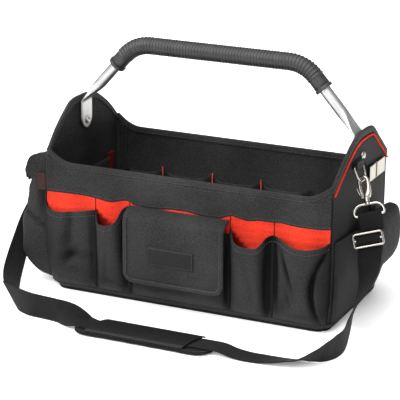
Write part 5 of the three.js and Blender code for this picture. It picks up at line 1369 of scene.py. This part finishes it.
# Tape clip
# A bent steel clip for a tape measure stands off the right end panel, on a wide strip of webbing that
# is sewn down the panel. It has two plates with a slot between them.
CLIP_Y, CLIP_WIDE, CLIP_TOP, CLIP_LOW, CLIP_STAND = 60, 72, 237, 212, 7
CLIP_OUT, SLOT_FRONT, SLOT_BACK = HALF + CLIP_STAND, CLIP_Y - 11, CLIP_Y - 1
STRIP_FRONT, STRIP_BACK, STRIP_LOW, STRIP_TOP = 39, 101, 160, 235.5
upright = (np.zeros(3), np.eye(3))


def clip_block(name, inner, outer, near, far, low, high, ease_by):
    """A plate of the clip, from how far in from its face it reaches to how far in it starts."""
    return block(name, (CLIP_OUT - inner, near, low), (CLIP_OUT - outer, far, high), upright, ease_by)


parts = [
    clip_block("plate", 1.4, 0, CLIP_Y - CLIP_WIDE / 2 + 1.5, CLIP_Y - 9, CLIP_LOW, CLIP_TOP, 0.7),
    clip_block("plate", 1.4, 0, SLOT_BACK, CLIP_Y + CLIP_WIDE / 2, CLIP_LOW, CLIP_TOP, 0.7),
    clip_block("slot", 3.6, 2.4, SLOT_FRONT, CLIP_Y + 1, CLIP_LOW + 0.6, CLIP_TOP - 0.6, 0.4),
]
for y in (SLOT_FRONT, SLOT_BACK, CLIP_Y + CLIP_WIDE / 2 - 2):
    parts.append(clip_block("fold", 3.6, 0.2, y, y + 1.6, CLIP_LOW, CLIP_TOP, 0.5))
parts.append(clip_block(
    "foot", CLIP_STAND - LAYER - WEB - 0.6, 0, CLIP_Y - 18, CLIP_Y + 18, CLIP_LOW, CLIP_LOW + 1.4, 0.4))
clip_steel = metal_look("zinc_plate", (0.5, 0.47, 0.4), (0.24, 0.22, 0.18), 0.34, (1, 5, 1))
fitted(joined("tape_clip_plates", parts), clip_steel, "steel", "tape_clip")
y, z = grid(np.linspace(STRIP_FRONT, STRIP_BACK, 30), np.linspace(STRIP_LOW, STRIP_TOP, 30))
strip = cloth("clip_strip", on_end(1, y, z, LAYER + WEB), WEB, (1, 0, 0))
fitted(strip, webbing_cloth, "webbing", "clip_webbing")

# Shoulder strap
# A long strap of ribbed webbing runs from the right bow through a wire adjuster, round the front on
# the floor and up to the left bow. It lies on its edge in places, and is folded on the slant once.
BUCKLE_WIRE, BUCKLE_TALL, BUCKLE_INNER = 4, 25, 42
BUCKLE = np.array([286, -58, 145], float)
bow_way, bow_foot = chains["right"]
buckle_up = square_to(bow_foot - BUCKLE, bow_way)
reach, rise = BUCKLE_INNER / 2 + BUCKLE_WIRE / 2, BUCKLE_TALL / 2 - BUCKLE_WIRE / 2
where = frame_of(BUCKLE, buckle_up, bow_way)
outline = rounded([(-reach, -rise, 3.5), (reach, -rise, 3.5), (reach, rise, 3.5), (-reach, rise, 3.5)], 8)
parts = [
    wire("frame", outline, BUCKLE_WIRE, where, closed=True),
    wire("middle", np.linspace((-reach, 0, 0), (reach, 0, 0), 8), BUCKLE_WIRE * 0.8, where),
]
fitted(joined("adjuster_wire", parts), steel, "steel", "strap_buckle")


def spline_point(points, t):
    """A place on the smooth line through points, with its spans timed by their length's root."""
    last = len(points) - 1
    p = last * min(max(t, 0), 1)
    i = min(int(p), last - 1)
    w = p - i
    p1, p2 = points[i], points[i + 1]
    p0 = points[i - 1] if i > 0 else 2 * p1 - p2
    p3 = points[i + 2] if i + 2 <= last else 2 * p2 - p1
    d0, d1, d2 = (math.sqrt(np.linalg.norm(b - a)) for a, b in ((p0, p1), (p1, p2), (p2, p3)))
    d1 = d1 if d1 > 1e-4 else 1.0
    d0 = d0 if d0 > 1e-4 else d1
    d2 = d2 if d2 > 1e-4 else d1
    t1 = ((p1 - p0) / d0 - (p2 - p0) / (d0 + d1) + (p2 - p1) / d1) * d1
    t2 = ((p2 - p1) / d1 - (p3 - p1) / (d1 + d2) + (p3 - p2) / d2) * d1
    return p1 + t1 * w + (-3 * p1 + 3 * p2 - 2 * t1 - t2) * w * w + (2 * p1 - 2 * p2 + t1 + t2) * w ** 3


def webbing_profile():
    """The webbing's section, from one long side round its rounded edge to the other."""
    wide, thick = WEB_WIDE / 2, WEB / 2
    half = [(-wide + 0.9, thick)] + [(w, thick) for w in np.linspace(-wide + 3, wide - 3, 9)]
    half += [(wide - 0.9, thick), (wide, thick * 0.3), (wide, -thick * 0.3)]
    half += [(wide - 0.9, -thick)] + [(w, -thick) for w in np.linspace(wide - 3, -wide + 3, 9)]
    return half + [(-wide + 0.9, -thick), (-wide, -thick * 0.3), (-wide, thick * 0.3)]


def webbing(name, rows, steps, node):
    """Flat webbing along rows of (middle, width direction, slant), with rounded edges."""
    points = [np.array(row[0], float) for row in rows]
    wides = [unit(row[1]) for row in rows]
    slants = [row[2] if len(row) > 2 else 0 for row in rows]
    spans = len(rows) - 1
    rings = []
    for place in np.linspace(0, spans, int(round(spans * steps)) + 1):
        row = min(int(place), spans - 1)
        t = place - row
        along = place / spans
        at = spline_point(points, along)
        way = unit(spline_point(points, min(along + 0.005, 1)) - spline_point(points, max(along - 0.005, 0)))
        wide = square_to(wides[row] * (1 - t) + wides[row + 1] * t, way)
        slant = slants[row] * (1 - t) + slants[row + 1] * t
        thick = np.cross(way, wide)
        loop = np.array([
            at + wide * w + way * (w / (WEB_WIDE / 2) * slant) + thick * n
            for w, n in webbing_profile()])
        loop[:, 2] += max(0.3 - loop[:, 2].min(), 0)
        rings.append(loop)
    return fitted(loft(name, rings, crisp=50), webbing_cloth, "webbing", node)


bow_turn = BOW_WIRE / 2 + LAYER + WEB / 2


def strap_loop(chain, up, front_leg, back_leg):
    """Rows for webbing that goes up over a bow's bar and down again."""
    across, foot = chain
    rise_way = square_to(up, across)
    face = np.cross(across, rise_way)
    spots_over = [(front_leg[0], -front_leg[1]), (bow_turn, 0)]
    over = np.radians([30, 60, 90, 120, 150])
    spots_over += [(bow_turn * math.cos(a), bow_turn * math.sin(a)) for a in over]
    spots_over += [(-bow_turn, 0), (-back_leg[0], -back_leg[1])]
    return [(foot + face * out + rise_way * high, across) for out, high in spots_over]


behind, in_front = BUCKLE_WIRE / 2 + LAYER + WEB / 2 + 0.9, BUCKLE_WIRE * 0.4 + LAYER + WEB / 2 + 0.7
drop = (bow_foot - BUCKLE) @ buckle_up - rise
right_loop = strap_loop(chains["right"], buckle_up, (-behind, drop - 1.1), (behind + WEB + 2, drop - 2))
webbing("strap_right_bow_loop", right_loop, 4, "strap_right_loop")
buckle_back = unit(np.cross(buckle_up, bow_way))
# height on the adjuster and how far behind its plane the webbing runs there
through = [
    (rise - 0.6, behind), (rise * 0.5, 0.2), (0, -in_front), (rise * -0.5, 0.2), (-rise, behind),
    (-rise - 4, behind)]
# middle, width direction and slant of the strap on its way along the floor
STRAP_RIGHT = [(BUCKLE + buckle_up * high + buckle_back * back, bow_way) for high, back in through]
STRAP_RIGHT += [
    ((292.5, -66, 112), (0.95, 0.15, 0.22)), ((296, -79, 95), (0.9, -0.25, 0.28)),
    ((296, -93, 79), (0.74, -0.55, 0.36)), ((294, -106, 66), (0.58, -0.72, 0.38)),
    ((291, -118, 54), (0.4, -0.82, 0.42)), ((290, -132, 41), (0.25, -0.8, 0.55)),
    ((290.5, -147, 29), (0.12, -0.6, 0.8)), ((293, -164, 21.5), (0.05, -0.3, 0.95)),
    ((295, -184, 19.8), (0, -0.05, 1)), ((293, -207, 19.8), (0, 0, 1)),
    ((287, -230, 19.5), (0.2, -0.11, 0.96)), ((277, -244, 16.5), (0.3, -0.5, 0.8)),
    ((264, -252, 12), (0.2, -0.8, 0.56)), ((250, -256, 8.2), (0.2, -0.9, 0.33)),
    ((234, -258.5, 6.2), (0.15, -0.95, 0.26)), ((215, -260, 3.8), (0.05, -0.99, 0.13)),
    ((192, -260.5, 1.8), (0, -1, 0.02)), ((168, -261, 1.7), (0, -1, 0)), ((147, -261, 4), (0, -1, 0)),
    ((128, -261, 8.6), (0, -1, 0)), ((110, -262, 9.9), (0, -1, 0)), ((60, -264, 9.9), (0, -1, 0)),
]
STRAP_LEFT = [
    ((-50, -265, 9.9), (0, -1, 0)), ((-92, -264.5, 9.9), (0, -1, 0)), ((-106, -264, 11.6), (0, -1, -0.1)),
    ((-121, -263, 15.5), (0, -0.88, -0.45)), ((-138, -262.5, 18.6), (0, -0.5, -0.86)),
    ((-160, -258.5, 19.8), (0, -0.12, -1)), ((-188, -255, 19.8), (0, -0.1, -1)),
    ((-212, -252.5, 19.8), (0, -0.16, -1)), ((-234, -245, 19.8), (0, -0.1, -1), -8),
    ((-261, -232, 19.8), (0, 0, -1), -23),
]
STRAP_RISE = [
    ((-263, -228.3, 20.3), (0.62, -0.1, -0.78), -16), ((-280, -199, 23), (0.6, 0.3, -0.74), -6),
    ((-299, -163, 27), (0.6, 0.4, -0.7)), ((-314, -126, 36), (0.57, 0.45, -0.7)),
    ((-326, -84, 57), (0.45, 0.5, -0.72)), ((-333, -44, 84), (0.35, 0.62, -0.68)),
    ((-331, -6, 113), (0.3, 0.8, -0.5)), ((-320, 18, 143), (0.3, 0.93, -0.15)),
]
webbing("strap_right_run", STRAP_RIGHT, 8, "strap_right")
webbing("strap_left_run", STRAP_LEFT, 8, "strap_left")
webbing("strap_rise", STRAP_RISE, 8, "strap_left_rise")
left_up = chains["left"][1] - np.array(STRAP_RISE[-1][0], float)
left_drop = np.linalg.norm(left_up) - 8
left_loop = strap_loop(chains["left"], left_up, (bow_turn, left_drop * 0.6), (bow_turn, left_drop))
webbing("strap_left_bow_loop", left_loop, 4, "strap_left_loop")

# Shoulder pad
# A soft strip with round ends, filled with foam and sewn flat round its rim, lies under the strap. A
# bare sleeve of cloth, cut on the slant, is sewn over it and holds the strap on the pad.
PAD_X, PAD_Y, PAD_LONG, PAD_WIDE, PAD_THICK, PAD_REST = -2, -265, 242, 64, 7.5, 0.3
PAD_SWELL, PAD_SEAM, PAD_CELL, SWELL_STEPS = 2.2, 4.5, 4, 15
SLEEVE_LONG, SLEEVE_WIDE, SLEEVE_SLANT, SLEEVE_CLOTH, SLEEVE_RISE = 168, 0.9 * PAD_WIDE, 14, 2, 5
# share of the outline and share of the thickness at each ring, from the pad's underside to its top
PAD_RINGS = [
    (0.3, 0.0), (0.8, 0.0), (0.93, 0.12), (0.985, 0.32), (1.0, 0.5), (0.985, 0.66), (0.93, 0.8),
    (0.84, 0.9), (0.6, 0.97), (0.3, 1.0),
]


def pad_outline(count, reach, up, draw_in=1):
    """The pad's long round-ended outline at a reach from its middle line."""
    c, s = np.cos(circle(count)), np.sin(circle(count))
    straight = np.sign(c) * np.minimum(np.abs(c) * 4, 1) * (PAD_LONG - PAD_WIDE) / 2
    return spots(PAD_X + straight * draw_in + c * reach, PAD_Y + s * reach, PAD_REST + PAD_THICK * up)


pad_cloth = cloth_look(
    "pad_cloth", (0.002, 0.002, 0.002), (0.009, 0.009, 0.0095), 0.8, 0.8,
    rough=0.6, dent=0.2, crease=2.5, sheen=0.03, finish="solid")
pad = loft("shoulder_pad", [
    pad_outline(96, PAD_WIDE * grow / 2, up, 1 if grow > 0.5 else 0.9) for grow, up in PAD_RINGS], crisp=80)
rest_mesh = pad.modifiers.new("remesh", "REMESH")
rest_mesh.mode, rest_mesh.voxel_size = "VOXEL", PAD_CELL / 1000
pad.data = settled(pad)
pad.modifiers.clear()
before = np.array([v.co for v in pad.data.vertices], float)
swell = pad.modifiers.new("swell", "CLOTH")
swell.settings.use_pressure = True
swell.settings.uniform_pressure_force = 3
swell.settings.effector_weights.gravity = 0
swell.settings.tension_stiffness = swell.settings.compression_stiffness = 25
for step in range(1, SWELL_STEPS + 1):
    scene.frame_set(step)
swollen = pad.evaluated_get(bpy.context.evaluated_depsgraph_get()).data
move = np.array([v.co for v in swollen.vertices], float) - before
pad.modifiers.clear()
scene.frame_set(1)
far = np.linalg.norm(move, axis=1, keepdims=True)
after = before + move * np.minimum(1, PAD_SWELL / 1000 / np.maximum(far, 1e-9))
after[:, 2] = np.clip(after[:, 2], PAD_REST / 1000, (PAD_REST + PAD_THICK - 0.1) / 1000)
reach = PAD_WIDE / 2 + 1.5
after[:, 1] = np.clip(after[:, 1], (PAD_Y - reach) / 1000, (PAD_Y + reach) / 1000)
pad.data.vertices.foreach_set("co", after.astype(np.float32).ravel())
pad.data.update()
finer = pad.modifiers.new("finer", "SUBSURF")
finer.levels = finer.render_levels = 1
pad.data = settled(pad)
pad.modifiers.clear()
pad.data.name = "shoulder_pad"
pad.data.shade_smooth()
fitted(pad, pad_cloth, "black_cloth", "pad_base")
stitches("pad_stitches", [pad_outline(160, PAD_WIDE / 2 - PAD_SEAM, 0.92)], closed=True)

u, v = grid(np.linspace(-0.5, 0.5, 60), np.linspace(0, 1, 40))
x = PAD_X + u * SLEEVE_LONG + (v - 0.5) * SLEEVE_SLANT
y = PAD_Y + (v - 0.5) * SLEEVE_WIDE
arch = np.sin(math.pi * v)
z = PAD_REST + PAD_THICK + LAYER + SLEEVE_CLOTH + SLEEVE_RISE * arch ** 0.5 + 0.35 * np.sin(x / 17) * arch
sleeve = cloth("pad_sleeve_cloth", spots(x, y, z), SLEEVE_CLOTH, (0, 0, 1))
declared(fitted(sleeve, patch_look, "black_cloth", "pad_sleeve"), "stretched", "shoulder_pad")
for name, at in (("sleeve_front_stitches", 0.05), ("sleeve_back_stitches", 0.95)):
    x = PAD_X + np.linspace(-0.49, 0.49, 50) * SLEEVE_LONG + (at - 0.5) * SLEEVE_SLANT
    top = PAD_REST + PAD_THICK + LAYER + SLEEVE_CLOTH + 0.2 + SLEEVE_RISE * math.sin(math.pi * at) ** 0.5
    stitches(name, [spots(x, PAD_Y + (at - 0.5) * SLEEVE_WIDE, top)])

# Inside
# A low strip of cloth along the back wall and one on the left end make pockets inside the bag. They
# are sewn down between the pockets, with short red bars at three of the seams. Tape covers the
# upright corner seams, with thin welts on both sides of it, and a red ribbon, painted dark red as
# shade inside the bag, hangs at the left.
STRIP_CLOTH, STRIP_FOOT, STRIP_STAND = 1.5, SHELL_FOOT + 17, 9
BACK_MOUTH, END_MOUTH = 146, 178
BAR_LOWS, BAR_TOP = (140, 142, 142), 157
BACK_SEAMS = [-0.92, -0.628, -0.248, 0.116, 0.48, 0.92]
END_STRIP_START, END_STRIP_LONG = -0.8, 1.52
RIBBON_FRONT, RIBBON_BACK, RIBBON_LOW, RIBBON_TOP = 68, 86, 120, 186
WELT_NEAR, WELT_FAR = 9, 17
inside_face = WALL + LAYER + STRIP_CLOTH
vs = spread((0, 0.35, 12), (0.35, 1, 16))
for number, (start, end) in enumerate(zip(BACK_SEAMS[:-1], BACK_SEAMS[1:]), 1):
    u, v = grid(spread((0, 0.2, 12), (0.2, 0.8, 24), (0.8, 1, 12)), vs)
    held = ease(np.minimum(u, 1 - u) / 0.2)
    stand = inside_face + STRIP_STAND * ease(v / 0.35) * held
    loose = 1.2 * np.sin(u * 9 + number) * ease(v / 0.5) * held
    mouth = BACK_MOUTH + 8 * np.abs(2 * u - 1) ** 3
    x, y = HALF * (start + (end - start) * u), DEEP - stand + loose
    points = soft_corner(spots(x, y, STRIP_FOOT + (mouth - STRIP_FOOT) * v))
    # Painted shade darkens each strip towards its sewn sides, above its foot.
    strip = cloth(
        f"back_strip_{number}", points, STRIP_CLOTH, (0, -1, 0), painted_shade=0.6 * (1 - held) * ease(v / 0.3))
    declared(fitted(strip, black_cloth, "black_cloth", f"back_inside_pocket_{number}"), "stretched", "shell")
    stitches(f"strip_stitches_{number}", [points[1:-1, -5] + (0, -0.5, 0)])
u, v = grid(spread((0, 0.12, 14), (0.12, 0.88, 40), (0.88, 1, 14)), vs)
stand = inside_face + STRIP_STAND * ease(v / 0.35) * ease(np.minimum(u, 1 - u) / 0.12)
y = END_STRIP_START * DEEP + END_STRIP_LONG * DEEP * u
points = soft_corner(spots(stand - HALF, y, STRIP_FOOT + (END_MOUTH - STRIP_FOOT) * v))
strip = cloth("end_strip", points, STRIP_CLOTH, (1, 0, 0))
declared(fitted(strip, black_cloth, "black_cloth", "end_inside_pocket"), "stretched", "shell")

# The ribbon's red is painted far darker than the lining's, as painted shade inside the bag.
shaded_ribbon_red = cloth_look("shaded_red_ribbon", (0.05, 0.004, 0.004), (0.2, 0.014, 0.012), 0.8, 0.8)
y, z = grid(np.linspace(RIBBON_FRONT, RIBBON_BACK, 8), np.linspace(RIBBON_LOW, RIBBON_TOP, 24))
ribbon = cloth(
    "inside_red_ribbon", spots(-HALF + inside_face + 8.2 + 0.8 * np.sin(z / 14), y, z), 1.0, (1, 0, 0))
declared(fitted(ribbon, shaded_ribbon_red, "red_cloth", body="bag"), "hung", "end_strip")
red_thread = cloth_look(
    "red_thread", (0.5, 0.02, 0.012), (0.8, 0.06, 0.03), 0.6, 0.6,
    rough=0.6, crease=0.2, sheen=0.25, finish="solid")
bars = [
    spots(HALF * share, DEEP - inside_face - 2.2, np.linspace(low, BAR_TOP, 9))
    for share, low in zip(BACK_SEAMS[1:4], BAR_LOWS)]
stitches("inside_bars", bars, look=red_thread, pitch=1.8, length=2.4, thread=2.4, slot="red_cloth")

for number, (cx, cy) in enumerate(((-1, 1), (1, 1), (-1, -1), (1, -1)), 1):
    x, y = cx * (HALF - WALL - 1.4), cy * (DEEP - WALL - 1.4)
    line = spots(x, y, np.linspace(LOW + 4, RIM_CORNER - 12, 24))
    tapes = [(f"corner_tape_{number}", (0, 0, 0), 3.2, 9)]
    welts = (
        ("a", (-cx * WELT_FAR, 0, 0)), ("b", (0, -cy * WELT_FAR, 0)),
        ("c", (-cx * WELT_NEAR, 0, 0)), ("d", (0, -cy * WELT_NEAR, 0)))
    for letter, shift in welts:
        tapes.append((f"corner_welt_{number}{letter}", shift, 2.6, 1.8))
    for name, shift, wide, tall in tapes:
        made = tube(name, soft_corner(line + shift), wide, tall, flat=(cx, -cy, 0))
        fitted(made, tape_cloth, "black_cloth", body="bag")
